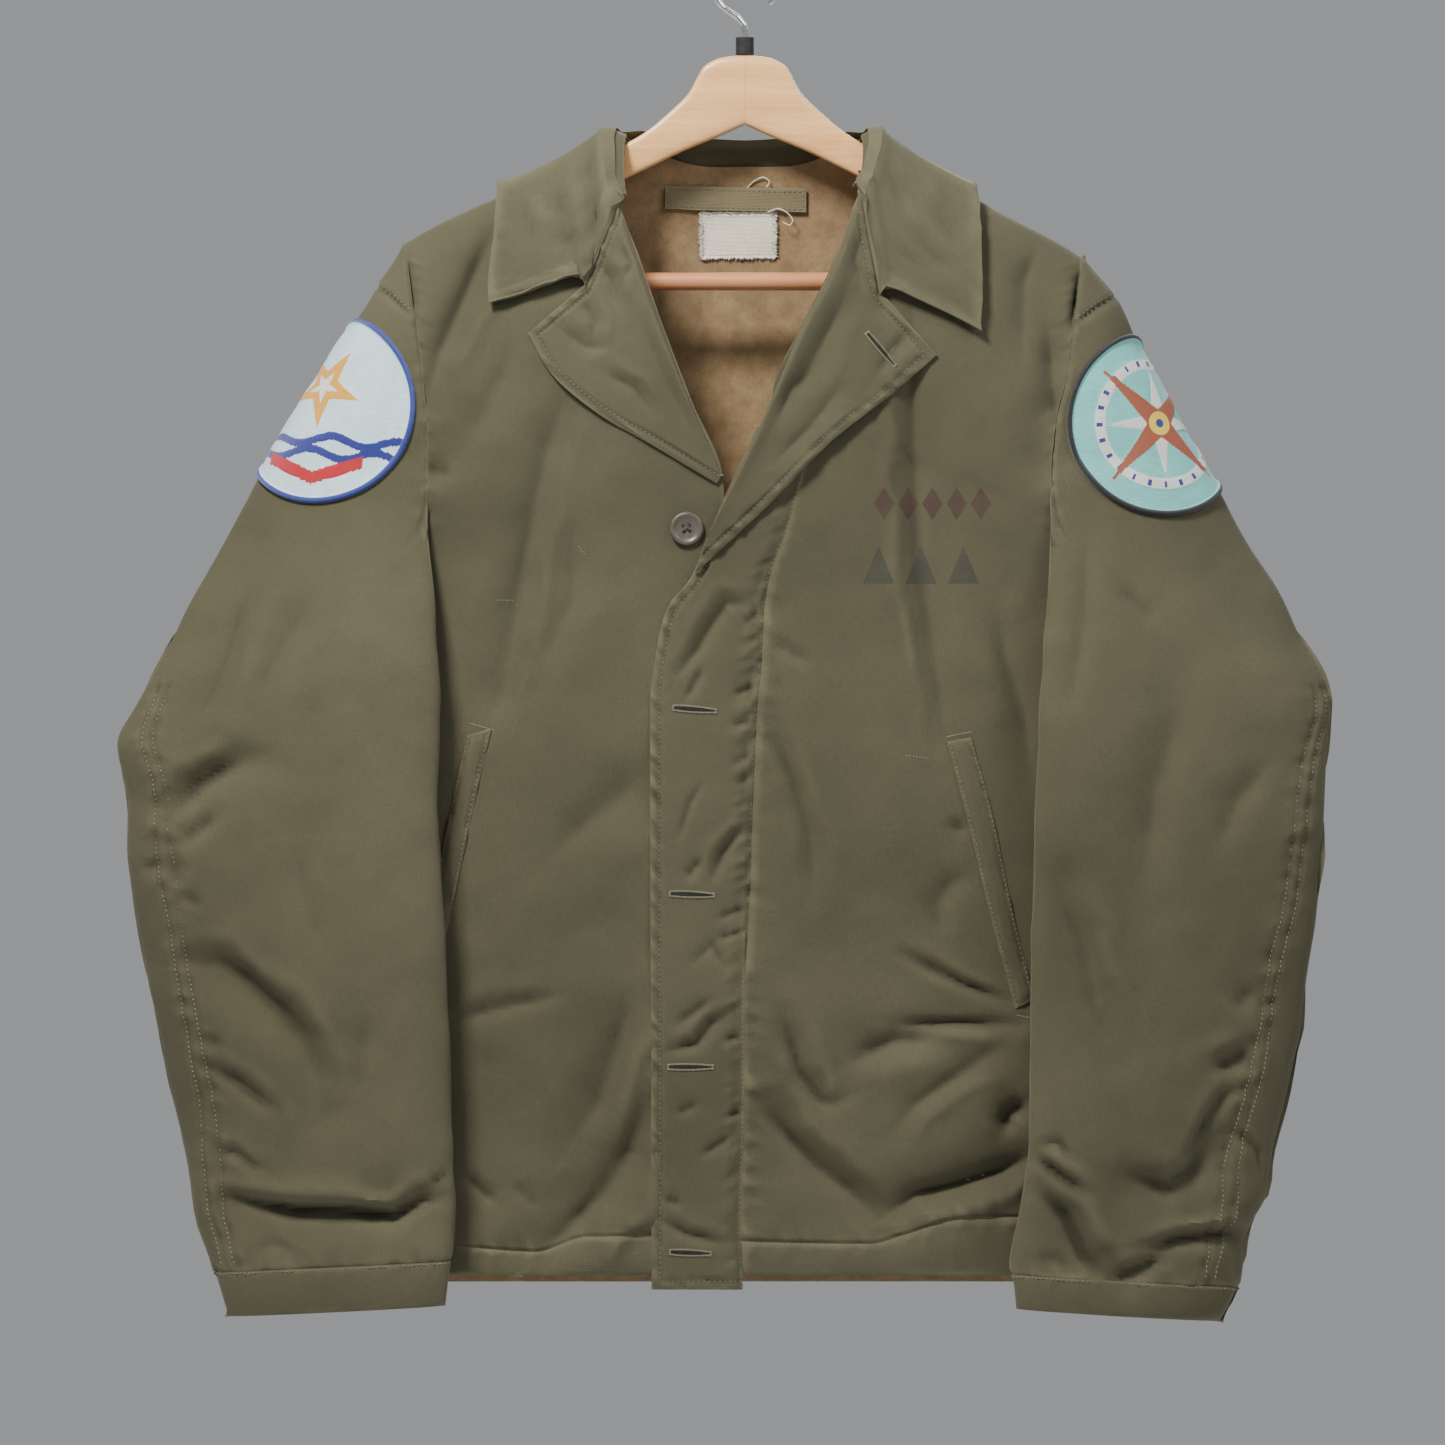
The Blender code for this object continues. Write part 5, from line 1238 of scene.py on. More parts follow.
def inset_line(grid, edge, inset, free, closed_ends=0.9):
    """Points and normals of the line that runs at a fixed distance inside one edge of a grid."""
    d_edge = edge_distance(grid, edge)
    d_free = edge_distance(grid, free)
    normal = grid_normals(grid)
    turned = {"t": 0, "b": 1, "l": 2, "r": 3}[edge]
    views = [np.asarray(a) for a in (d_edge, d_free, grid, normal)]
    if turned >= 2:
        views = [np.swapaxes(a, 0, 1) for a in views]
    if turned % 2:
        views = [a[::-1] for a in views]
    d, f, points, normals = views
    out_points, out_normals = [], []
    for column in range(d.shape[1]):
        beyond = np.nonzero(d[:, column] >= inset)[0]
        if not len(beyond) or beyond[0] == 0:
            continue
        i = beyond[0]
        w = (inset - d[i - 1, column]) / (d[i, column] - d[i - 1, column])
        if f[i - 1, column] * (1 - w) + f[i, column] * w < inset * closed_ends:
            continue
        out_points.append(points[i - 1, column] * (1 - w) + points[i, column] * w)
        out_normals.append(normals[i - 1, column] * (1 - w) + normals[i, column] * w)
    return np.array(out_points), unit(np.array(out_normals))


def resample(points, normals, pitch):
    steps = np.linalg.norm(np.diff(points, axis=0), axis=1)
    reach = np.concatenate(([0.0], np.cumsum(steps)))
    count = max(2, int(reach[-1] / pitch))
    at = (np.arange(count) + 0.5) * reach[-1] / count
    p = np.stack([np.interp(at, reach, points[:, i]) for i in range(3)], axis=1)
    n = unit(np.stack([np.interp(at, reach, normals[:, i]) for i in range(3)], axis=1))
    ahead = np.stack([np.interp(at + 0.5 * MM, reach, points[:, i]) for i in range(3)], axis=1)
    behind = np.stack([np.interp(at - 0.5 * MM, reach, points[:, i]) for i in range(3)], axis=1)
    return p, n, unit(ahead - behind)


STITCH_FACES = ((0, 2, 4), (2, 1, 4), (1, 3, 4), (3, 0, 4), (2, 0, 5), (1, 2, 5), (3, 1, 5), (0, 3, 5))


class Thread:
    """Collects stitches, each a small pointed bead of thread, into one mesh."""

    def __init__(self):
        self.verts = []
        self.faces = []

    def stitch(self, p, n, t, length, width, height):
        side = np.cross(n, t)
        corners = np.stack((p - t * length / 2 - n * STITCH_DIP, p + t * length / 2 - n * STITCH_DIP,
                            p - side * width / 2, p + side * width / 2, p + n * height,
                            p - n * STITCH_ROOT), axis=1)
        for beads in corners:
            start = len(self.verts)
            self.verts += beads.tolist()
            self.faces += [tuple(start + i for i in face) for face in STITCH_FACES]

    def line(self, points, normals, pitch=STITCH_PITCH, length=STITCH_LENGTH, width=STITCH_WIDTH,
             height=STITCH_HEIGHT, slant=0.0):
        if len(points) < 3:
            return
        p, n, t = resample(points, normals, pitch)
        side = np.cross(n, t)
        t = unit(t * math.cos(slant) + side * math.sin(slant))
        self.stitch(p, n, t, length, width, height)

    def build(self, name, look, slot):
        return finish_piece(add_mesh(name, self.verts, self.faces, look, sharp=0), slot)


# Materials


class Nodes:
    """Short way to wire a node tree."""

    def __init__(self, name):
        self.material = bpy.data.materials.new(name)
        self.material.use_nodes = True
        self.tree = self.material.node_tree
        self.shader = self.tree.nodes["Principled BSDF"]

    def add(self, kind, links=(), **values):
        node = self.tree.nodes.new(kind)
        for key, value in values.items():
            if key.startswith("in_"):
                node.inputs[key[3:].replace("_", " ")].default_value = value
            else:
                setattr(node, key, value)
        for socket, source in links:
            self.join(source, node.inputs[socket])
        return node

    def join(self, source, target):
        if isinstance(source, tuple):
            source = source[0].outputs[source[1]]
        elif hasattr(source, "outputs"):
            source = source.outputs[0]
        self.tree.links.new(source, target)

    def noise(self, vector, scale, detail=3.0, rough=0.55):
        return self.add("ShaderNodeTexNoise", [("Vector", vector)], in_Scale=scale, in_Detail=detail,
                        in_Roughness=rough)

    def stretched(self, vector, scale):
        return self.add("ShaderNodeMapping", [("Vector", vector)], in_Scale=scale)

    def ramp(self, value, stops):
        node = self.add("ShaderNodeValToRGB", [("Fac", value)])
        ramp = node.color_ramp
        while len(ramp.elements) < len(stops):
            ramp.elements.new(0.5)
        for element, (place, colour) in zip(ramp.elements, stops):
            element.position = place
            element.color = (*colour, 1.0)
        return node

    def mix(self, mode, factor, first, second):
        node = self.add("ShaderNodeMix", data_type="RGBA", blend_type=mode)
        for index, value in ((0, factor), (6, first), (7, second)):
            if isinstance(value, (int, float)):
                node.inputs[index].default_value = value
            elif isinstance(value, tuple) and not hasattr(value[0], "outputs"):
                node.inputs[index].default_value = (*value, 1.0)
            else:
                self.join(value, node.inputs[index])
        return (node, 2)

    def grey(self, value, low, high):
        """A value mapped to a grey between two levels."""
        return self.add("ShaderNodeMapRange", [("Value", value)], in_From_Min=0.3, in_From_Max=0.7,
                        in_To_Min=low, in_To_Max=high)

    def maths(self, operation, value, *numbers):
        """One step of arithmetic on a value, with plain numbers as the other operands."""
        node = self.add("ShaderNodeMath", [(0, value)], operation=operation)
        for index, number in enumerate(numbers, 1):
            node.inputs[index].default_value = number
        return node

    def times(self, first, second):
        return self.add("ShaderNodeMath", [(0, first), (1, second)], operation="MULTIPLY")

    def plus(self, first, second):
        return self.add("ShaderNodeMath", [(0, first), (1, second)], operation="ADD")

    def bump(self, height, strength, distance):
        node = self.add("ShaderNodeBump", [("Height", height)], in_Strength=strength, in_Distance=distance)
        self.join(node, self.shader.inputs["Normal"])

    def paint(self, colour):
        self.join(colour, self.shader.inputs["Base Color"])

    def set(self, **values):
        for key, value in values.items():
            self.shader.inputs[key.replace("_", " ")].default_value = value


def woven(name, base, light, dark, rib=0.62 * MM, worn=(0.165, 0.152, 0.088), prints=()):
    """Corded cotton: slow fading, slubby threads both ways, fine cords, pale wear on raised folds, and
    painted shade in the hollows of creases and seams.
    """
    n = Nodes(name)
    place = n.add("ShaderNodeTexCoord")
    uv = n.add("ShaderNodeUVMap", uv_map="cloth")
    slow = n.noise((place, 3), 7.0, 3.0)
    middle = n.noise((place, 3), 38.0, 4.0, 0.6)
    warp = n.noise(n.stretched(uv, (2300.0, 150.0, 1.0)), 1.0, 2.0)
    weft = n.noise(n.stretched(uv, (170.0, 2600.0, 1.0)), 1.0, 2.0)
    cord = n.add("ShaderNodeTexWave", [("Vector", uv)], wave_type="BANDS", bands_direction="Y",
                 in_Scale=0.314 / rib, in_Distortion=0.6, in_Detail=2.0, in_Detail_Scale=2.0)
    colour = n.mix("MIX", n.grey(slow, 0.0, 1.0), dark, light)
    colour = n.mix("MIX", n.grey(middle, 0.0, 0.35), colour, base)
    threads = n.plus(n.grey(warp, 0.42, 0.58), n.grey(weft, 0.42, 0.58))
    colour = n.mix("MULTIPLY", 1.0, colour, threads)
    shape = n.add("ShaderNodeNewGeometry")
    raised = n.ramp((shape, 7), ((0.504, (0, 0, 0)), (0.55, (1, 1, 1))))
    rubbed = n.times(raised, n.grey(middle, 0.15, 0.55))
    colour = n.mix("MIX", rubbed, colour, worn)
    # Painted shade: concave places, the hollows of creases and seams, are darkened to 0.58 of their colour.
    sunk = n.ramp((shape, 7), ((0.44, (0.58, 0.58, 0.58)), (0.494, (1, 1, 1))))
    colour = n.mix("MULTIPLY", 1.0, colour, sunk)
    for shape_of, ink in prints:
        mask = n.times(shape_of(n, (place, 3)), n.grey(middle, 0.55, 1.0))
        colour = n.mix("MIX", n.times(mask, n.grey(warp, 0.7, 1.0)), colour, ink)
    n.paint(colour)
    height = n.plus(n.times(cord, n.grey(middle, 0.5, 0.7)), n.plus(warp, weft))
    n.bump(height, 0.5, 0.0003)
    n.set(Roughness=0.86, Sheen_Weight=0.18, Sheen_Roughness=0.45, Specular_IOR_Level=0.25,
          Sheen_Tint=(0.75, 0.72, 0.6, 1.0))
    return n.material


def row_of(n, place, middle, pitch, count):
    """Distance across from the middle of the nearest of a row of shapes, and 1 within the row."""
    parts = n.add("ShaderNodeSeparateXYZ", [("Vector", place)])
    turns = n.maths("DIVIDE", n.maths("SUBTRACT", (parts, 0), middle - pitch * count / 2), pitch)
    off = n.maths("ABSOLUTE", n.maths("SUBTRACT", n.maths("FRACT", turns), 0.5))
    inside = n.maths("COMPARE", turns, count / 2, count / 2)
    return n.maths("MULTIPLY", off, pitch), (parts, 2), inside


def printed_diamonds(n, place):
    middle, pitch, count, drop, slope, half = DIAMOND_ROW
    wide, height, inside = row_of(n, place, middle, pitch, count)
    flat = n.maths("MULTIPLY", n.maths("ABSOLUTE", n.maths("ADD", height, drop)), slope)
    return n.times(n.maths("LESS_THAN", n.plus(wide, flat), half), inside)


def printed_wedges(n, place):
    middle, pitch, count, drop, slope, half = WEDGE_ROW
    wide, height, inside = row_of(n, place, middle, pitch, count)
    rise = n.maths("ADD", height, drop)
    over = n.maths("GREATER_THAN", rise, 0.0)
    narrow = n.maths("LESS_THAN", n.plus(wide, n.maths("MULTIPLY", rise, slope)), half)
    return n.times(n.times(narrow, over), inside)


def napped(name, dark, light):
    """Brushed wool: short fibres that lie downwards, with darker and paler lumps."""
    n = Nodes(name)
    place = n.add("ShaderNodeTexCoord")
    lumps = n.noise((place, 3), 90.0, 5.0, 0.7)
    slow = n.noise((place, 3), 14.0, 3.0)
    fibres = n.noise(n.stretched((place, 3), (1500.0, 900.0, 420.0)), 1.0, 4.0, 0.7)
    colour = n.mix("MIX", n.grey(lumps, 0.1, 0.9), dark, light)
    colour = n.mix("MULTIPLY", 1.0, colour, n.plus(n.grey(slow, 0.42, 0.56), n.grey(fibres, 0.36, 0.62)))
    n.paint(colour)
    n.bump(n.plus(fibres, n.times(lumps, lumps)), 0.7, 0.0006)
    n.set(Roughness=0.95, Sheen_Weight=0.5, Sheen_Roughness=0.6, Sheen_Tint=(0.8, 0.62, 0.42, 1.0),
          Specular_IOR_Level=0.15)
    return n.material


def thread_look(name, colour):
    n = Nodes(name)
    place = n.add("ShaderNodeTexCoord")
    fine = n.noise((place, 3), 900.0, 2.0)
    n.paint(n.mix("MULTIPLY", 1.0, colour, n.grey(fine, 0.75, 1.15)))
    n.bump(fine, 0.4, 0.0002)
    n.set(Roughness=0.65, Sheen_Weight=0.25)
    return n.material


def embroidery(name, colour, slant=0.0):
    """Satin stitches: parallel glossy threads in one direction."""
    n = Nodes(name)
    uv = n.add("ShaderNodeUVMap", uv_map="cloth")
    turned = n.add("ShaderNodeMapping", [("Vector", uv)], in_Rotation=(0.0, 0.0, slant))
    rows = n.add("ShaderNodeTexWave", [("Vector", turned)], wave_type="BANDS", bands_direction="X",
                 in_Scale=0.314 / 0.0006, in_Distortion=1.5, in_Detail=2.0, in_Detail_Scale=1.2)
    patchy = n.noise(n.stretched(turned, (1400.0, 130.0, 1.0)), 1.0, 3.0, 0.6)
    worn = n.noise(uv, 60.0, 3.0)
    shade = n.plus(n.grey(patchy, 0.36, 0.58), n.grey(worn, 0.42, 0.54))
    n.paint(n.mix("MULTIPLY", 1.0, colour, shade))
    n.bump(n.plus(rows, patchy), 0.6, 0.0003)
    n.set(Roughness=0.55, Sheen_Weight=0.3, Specular_IOR_Level=0.4)
    return n.material


def wooden(name, pale, dark, gloss):
    n = Nodes(name)
    place = n.add("ShaderNodeTexCoord")
    long = n.stretched((place, 3), (5.0, 60.0, 60.0))
    grain = n.noise(long, 1.0, 5.0, 0.65)
    pores = n.noise(n.stretched((place, 3), (28.0, 900.0, 900.0)), 1.0, 3.0, 0.6)
    rings = n.add("ShaderNodeTexWave", [("Vector", long)], wave_type="BANDS", bands_direction="Z",
                  in_Scale=1.1, in_Distortion=5.0, in_Detail=3.0)
    colour = n.mix("MIX", n.grey(grain, 0.0, 0.8), pale, dark)
    colour = n.mix("MIX", n.times(rings, n.grey(grain, 0.05, 0.3)), colour, dark)
    colour = n.mix("MULTIPLY", 1.0, colour, n.grey(pores, 0.88, 1.04))
    n.paint(colour)
    n.bump(n.plus(pores, grain), 0.12, 0.0003)
    n.set(Roughness=gloss, Coat_Weight=0.3, Coat_Roughness=0.25)
    return n.material


def simple(name, colour, roughness, metallic=0.0):
    n = Nodes(name)
    place = n.add("ShaderNodeTexCoord")
    fine = n.noise((place, 3), 300.0, 3.0)
    n.paint(n.mix("MULTIPLY", 1.0, colour, n.grey(fine, 0.85, 1.08)))
    n.join(n.grey(fine, roughness * 0.8, roughness * 1.25), n.shader.inputs["Roughness"])
    n.bump(fine, 0.1, 0.0002)
    n.set(Metallic=metallic)
    return n.material


OLIVE = (0.083, 0.077, 0.044)
OLIVE_PALE = (0.098, 0.090, 0.052)
OLIVE_DEEP = (0.065, 0.060, 0.033)
LOOKS = {
    "cloth": woven("olive cotton", OLIVE, OLIVE_PALE, OLIVE_DEEP),
    "printed cloth": woven("printed olive cotton", OLIVE, OLIVE_PALE, OLIVE_DEEP, prints=(
        (printed_diamonds, (0.060, 0.030, 0.026)), (printed_wedges, (0.040, 0.040, 0.034)))),
    "wool": napped("brown wool", (0.19, 0.125, 0.06), (0.36, 0.245, 0.13)),
    "tape": woven("olive tape", (0.19, 0.165, 0.095), (0.22, 0.19, 0.11), (0.15, 0.13, 0.075),
                  rib=0.9 * MM, worn=(0.26, 0.23, 0.14)),
    "label": woven("blank label", (0.80, 0.73, 0.58), (0.92, 0.85, 0.70), (0.66, 0.58, 0.45),
                   rib=0.8 * MM, worn=(0.85, 0.82, 0.75)),
    "thread": thread_look("olive thread", (0.145, 0.133, 0.08)),
    "pale thread": thread_look("pale thread", (0.23, 0.21, 0.13)),
    "dark thread": thread_look("dark thread", (0.05, 0.044, 0.03)),
    # Near-black painted shade for the open buttonholes and the holes of the button.
    "hole_shade": simple("painted shade in holes", (0.012, 0.010, 0.006), 0.9),
    "white thread": thread_look("white thread", (0.75, 0.72, 0.65)),
    "button": simple("grey horn", (0.085, 0.072, 0.055), 0.38),
    "wood": wooden("varnished beech", (0.98, 0.57, 0.24), (0.68, 0.34, 0.11), 0.38),
    "bar": wooden("bare beech", (0.66, 0.28, 0.12), (0.50, 0.19, 0.075), 0.45),
    "chrome": simple("chrome wire", (0.82, 0.82, 0.82), 0.16, 1.0),
    "ferrule": simple("black ferrule", (0.02, 0.02, 0.02), 0.35),
}


# Patches

def star_inside(x, y, points, inner, outer, turn=0.0):
    """True inside a star with this many points and these radii."""
    r = np.hypot(x, y)
    angle = np.mod(np.arctan2(x, y) - turn, 2 * math.pi / points)
    half = math.pi / points
    a = np.abs(angle - half)
    edge = inner * outer * math.sin(half) / (outer * np.sin(a + 1e-9) + inner * np.sin(half - a))
    return r < edge


def right_patch_design(x, y, r, reach):
    """Gold star over navy waves with a red chevron, on pale blue inside a blue border."""
    look = np.full(x.shape, 1)
    for k, low in enumerate((-0.30, -0.44)):
        crest = (low + 0.045 * np.sin(x / reach * 9 + k * 2.0)) * reach
        look[(y < crest) & (y > crest - 0.085 * reach)] = 3
    chevron = y - (-0.74 + 0.38 * np.abs(x) / reach) * reach
    look[(np.abs(chevron) < 0.065 * reach) & (np.abs(x) < 0.52 * reach)] = 4
    look[star_inside(x, y - 0.22 * reach, 5, 0.17 * reach, 0.44 * reach)] = 2
    look[star_inside(x, y - 0.22 * reach, 5, 0.07 * reach, 0.19 * reach)] = 5
    look[r > reach - PATCH_BORDER] = 0
    return look


def left_patch_design(x, y, r, reach):
    """Rust compass star and a white ring of navy ticks on aqua, inside a black border."""
    look = np.full(x.shape, 1)
    ring = np.abs(r - 0.66 * reach) < 0.055 * reach
    look[ring] = 3
    ticks = np.mod(np.arctan2(x, y), math.radians(15)) < math.radians(3.4)
    look[(np.abs(r - 0.66 * reach) < 0.035 * reach) & ticks] = 5
    look[star_inside(x, y, 4, 0.13 * reach, 0.60 * reach, math.pi / 4)] = 3
    look[star_inside(x, y, 4, 0.15 * reach, 0.86 * reach)] = 2
    look[r < 0.13 * reach] = 4
    look[r < 0.05 * reach] = 5
    look[r > reach - PATCH_BORDER] = 0
    return look


def turn_outward(mesh, way=None):
    """Makes the faces of a mesh agree, and the first one look this way where one is given."""
    bm = bmesh.new()
    bm.from_mesh(mesh)
    bmesh.ops.recalc_face_normals(bm, faces=bm.faces)
    bm.normal_update()
    bm.faces.ensure_lookup_table()
    if way and bm.faces[0].normal.dot(way) < 0:
        bmesh.ops.reverse_faces(bm, faces=bm.faces)
    bm.to_mesh(mesh)
    bm.free()


def patch_centre(side):
    x, z, reach = PATCH[side]
    v = float(find_v(side, np.array([(abs(x) - reach) * MM]), np.array([z * MM]))[0])
    left = reach * MM
    while left > 0:
        here = sleeve_base(side, z * MM, v + 0.002)
        v += 0.5 * MM / (np.linalg.norm(here - sleeve_base(side, z * MM, v - 0.002)) / 0.004)
        left -= 0.5 * MM
    return v, z * MM


def patch_map(side, radii, angles):
    """v and z of the disc's rings, walked over the sleeve from the middle along every ray at once."""
    v0, z0 = patch_centre(side)
    v, z = np.full(len(angles), v0), np.full(len(angles), z0)
    heading = None
    rings = []
    walked = 0.0
    for radius in radii:
        steps = max(1, math.ceil((radius - walked) / (1.0 * MM)))
        step = (radius - walked) / steps
        for _ in range(steps):
            dv, dz = 0.004, 0.5 * MM
            along = (sleeve_base(side, z, v + dv) - sleeve_base(side, z, v - dv)) / (2 * dv)
            down = (sleeve_base(side, z + dz, v) - sleeve_base(side, z - dz, v)) / (2 * dz)
            if heading is None:
                first = unit(along)
                second = unit(down - first * (down * first).sum(axis=1, keepdims=True))
                heading = first * np.cos(angles)[:, None] + second * np.sin(angles)[:, None]
            aa, ad, dd = (along * along).sum(1), (along * down).sum(1), (down * down).sum(1)
            ta, td = (heading * along).sum(1) * step, (heading * down).sum(1) * step
            v = v + (ta * dd - td * ad) / (aa * dd - ad * ad)
            z = z + (td * aa - ta * ad) / (aa * dd - ad * ad)
            normal = unit(np.cross(along, down))
            heading = unit(heading - normal * (heading * normal).sum(axis=1, keepdims=True))
        walked = radius
        rings.append((v, z))
    return np.array([ring[0] for ring in rings]), np.array([ring[1] for ring in rings])


def build_patch(side, word, design, names, slot):
    reach = PATCH[side][2] * MM
    sectors, count = PATCH_SECTORS, PATCH_RINGS
    angles = np.arange(sectors) * 2 * math.pi / sectors
    inner = np.linspace(0.8 * MM, reach - PATCH_RIM, count)
    radii = np.concatenate((inner, reach - np.linspace(3.2, 0, 9) * MM))
    v, z = patch_map(side, radii, angles)
    r = radii[:, None] + 0 * angles[None, :]
    border = np.clip((r - (reach - PATCH_RIM)) / PATCH_RIM, 0, 1)
    whip = 0.12 * MM * np.sin(angles * 170)[None, :] * (border > 0)
    x = side * r * np.cos(angles)
    y = r * np.sin(angles)
    looks = design(x, y, r, reach)
    raised = 0.3 * MM * (looks != 1) * (looks != 0)
    rim = np.sqrt(np.clip(1 - (2 * border - 1) ** 2, 0, 1)) * (border > 0)
    lift = 1.5 * MM + 1.5 * MM * rim + whip + raised
    lift = np.where(r > reach - 0.3 * MM, 0.5 * MM, lift)
    lift = lift + 0.3 * MM * noise(x, y, 15 * MM, 50 + side) * (border <= 0)
    grid = sleeve_point(side, z, v, lift)
    mesh = bpy.data.meshes.new("patch_disc_" + word)
    centre = grid[0].mean(axis=0)
    verts = grid.reshape(-1, 3).tolist() + [centre.tolist()]
    faces, kinds = [], []
    middle = design((x[:-1] + x[1:]) / 2, (y[:-1] + y[1:]) / 2, (r[:-1] + r[1:]) / 2, reach)
    for i in range(len(radii) - 1):
        for j in range(sectors):
            n = (j + 1) % sectors
            faces.append((i * sectors + j, (i + 1) * sectors + j, (i + 1) * sectors + n, i * sectors + n))
            kinds.append(int(middle[i, j]))
    for j in range(sectors):
        faces.append((len(verts) - 1, j, (j + 1) % sectors))
        kinds.append(int(middle[0, j]))
    under = sleeve_point(side, z[-1], v[-1], 0.1 * MM)
    start = len(verts)
    verts += under.tolist()
    last = (len(radii) - 1) * sectors
    for j in range(sectors):
        n = (j + 1) % sectors
        faces.append((last + j, start + j, start + n, last + n))
        kinds.append(0)
    mesh.from_pydata(verts, [], faces)
    for name in names:
        mesh.materials.append(embroidery(word + " patch " + name, *PATCH_THREADS[name]))
    mesh.polygons.foreach_set("material_index", kinds)
    flat = np.stack((x, y), axis=-1)
    uv = np.concatenate((flat.reshape(-1, 2), [[0.0, 0.0]], flat[-1]))
    set_uv(mesh, uv)
    turn_outward(mesh, Vector((side, -1, 0)))
    mesh.shade_smooth()
    return finish_piece(new_item("patch_disc_" + word, mesh), slot, ["patch_" + word])


# Small cloth pieces


def on_grid(grid, x, z, lift=0.0):
    """Points of a fine grid's surface under these x and z, with their normals."""
    flat = grid.reshape(-1, 3)
    normals = grid_normals(grid).reshape(-1, 3)
    normals = np.where(normals[:, 1:2] > 0, -normals, normals)
    x, z = np.broadcast_arrays(np.asarray(x, dtype=float), np.asarray(z, dtype=float))
    shape = x.shape
    points, outs = [], []
    for a, b in zip(x.ravel(), z.ravel()):
        d = (flat[:, 0] - a) ** 2 + (flat[:, 2] - b) ** 2 + np.where(normals[:, 1] > -0.15, 1.0, 0.0)
        near = np.argpartition(d, 6)[:6]
        w = 1 / (d[near] + (0.4 * MM) ** 2)
        w = w / w.sum()
        n = unit((normals[near] * w[:, None]).sum(axis=0))
        points.append(np.array([a, (flat[near, 1] * w).sum(), b]) + n * lift)
        outs.append(n)
    return np.array(points).reshape(shape + (3,)), np.array(outs).reshape(shape + (3,))


def welt_point(side, along, across):
    inner = curve_pair(WELT[side], along, 1)
    outer = curve_pair(WELT[side], along, 3)
    place = (inner + (outer - inner) * np.asarray(across)[..., None]) * MM
    lift = WELT_LIFT + THIN_WALL * 0.2 + 0.7 * MM * np.sin(math.pi * np.asarray(across))
    return moved_out(front_point, place[..., 0], place[..., 1], lift)


def build_welt(side, word, cloth):
    rows, columns = WELT_GRID
    along = np.linspace(0, 1, rows)[:, None] + np.zeros((1, columns))
    across = np.linspace(0, 1, columns)[None, :] + np.zeros((rows, 1))
    grid = oriented(welt_point(side, along, across), side)
    grid = rolled(grid, "tblr", 2.2, 0.8, 60 + side, 0.4)
    cloth_piece("welt_" + word, grid, THIN_WALL, (cloth,), COTTON, "pocket_welt_" + word)
    return grid


def neck_grid(size, rows, columns, lift):
    x0, z0, half_w, half_h, tilt = size
    t = np.linspace(1.0, -1.0, rows)[:, None]
    s = np.linspace(-1.0, 1.0, columns)[None, :]
    x = (x0 + s * half_w) * MM + 0 * t
    z = (z0 + t * half_h - tilt * s * half_w) * MM
    depth = LINING_INSET + LINING_WALL + lift + 0.25 * MM * noise(x, z, 9 * MM, 70)
    return moved_out(back_point, x, z, -depth)


def buttonhole(thread, slit_shades, grid, start, end, width=1.0):
    """Slit between two places of a grid, with whipped threads along both lips and a bar at each end; the
    open slit is a near-black strip of painted shade.
    """
    a, b = np.array(start) * MM, np.array(end) * MM
    run = (b - a) / np.linalg.norm(b - a)
    across = np.array([-run[1], run[0]])
    length = np.linalg.norm(b - a)
    count = int(length / (0.75 * MM))
    t = (np.arange(count) + 0.5) / count
    open_by = width * MM * np.maximum(0.15, np.sin(math.pi * np.clip(t * 0.82 + 0.18, 0, 1)) ** 0.8)
    places = [(t, sign * (open_by + 0.75 * MM), across, 0.25) for sign in (-1, 1)]
    places += [(at, np.linspace(-1.4, 1.4, 5) * MM, run, 0.0) for at in (0.0, 1.0)]
    for along, off, heading, lean in places:
        p, n = on_grid(grid, a[0] + run[0] * length * along + across[0] * off,
                       a[1] + run[1] * length * along + across[1] * off, 0.35 * MM)
        way = unit(np.array([heading[0] + lean * run[0], 0.0, heading[1] + lean * run[1]]) + 0 * p)
        way = unit(way - n * (way * n).sum(axis=1, keepdims=True))
        thread.stitch(p, n, way, 1.9 * MM, 0.7 * MM, 0.4 * MM)
    # The strip of painted shade that fills the open slit.
    s = np.linspace(-1, 1, 3)[:, None]
    t = np.linspace(0, 1, 25)[None, :]
    half = width * MM * np.sin(math.pi * np.clip(t * 0.86 + 0.12, 0, 1)) ** 0.7
    x = a[0] + run[0] * length * t + across[0] * half * s
    z = a[1] + run[1] * length * t + across[1] * half * s
    p, _ = on_grid(grid, x, z, 0.32 * MM)
    slit_shades.append(p)


def join_strips(name, strips, look, slot):
    shell = Shell()
    for strip in strips:
        middle = grid_normals(strip).mean(axis=(0, 1))
        shell.add(strip, SLIT_WALL, step=1, flip=middle[1] > 0)
    return finish_piece(shell.build(name, (look,)), slot)


# Hanger, hook and button


def circle(sides):
    """Angles of evenly spaced places round a circle."""
    return 2 * math.pi * np.arange(sides) / sides


def ring(centre, a, b, radius, angles):
    """Points round a circle that lies across two unit vectors."""
    return centre + radius * (a * np.cos(angles)[:, None] + b * np.sin(angles)[:, None])


def tube(rings, flip=False):
    """Vertices and faces of a closed tube through rings of points, capped at both ends."""
    verts, faces = [], []
    count = len(rings[0])
    for ring in rings:
        verts += [tuple(p) for p in ring]
    for i in range(len(rings) - 1):
        for k in range(count):
            n = (k + 1) % count
            loop = (i * count + k, i * count + n, (i + 1) * count + n, (i + 1) * count + k)
            faces.append(loop[::-1] if flip else loop)
    first = tuple(range(count))
    last = tuple(range((len(rings) - 1) * count, len(rings) * count))
    faces.append(first if flip else first[::-1])
    faces.append(last[::-1] if flip else last)
    return verts, faces


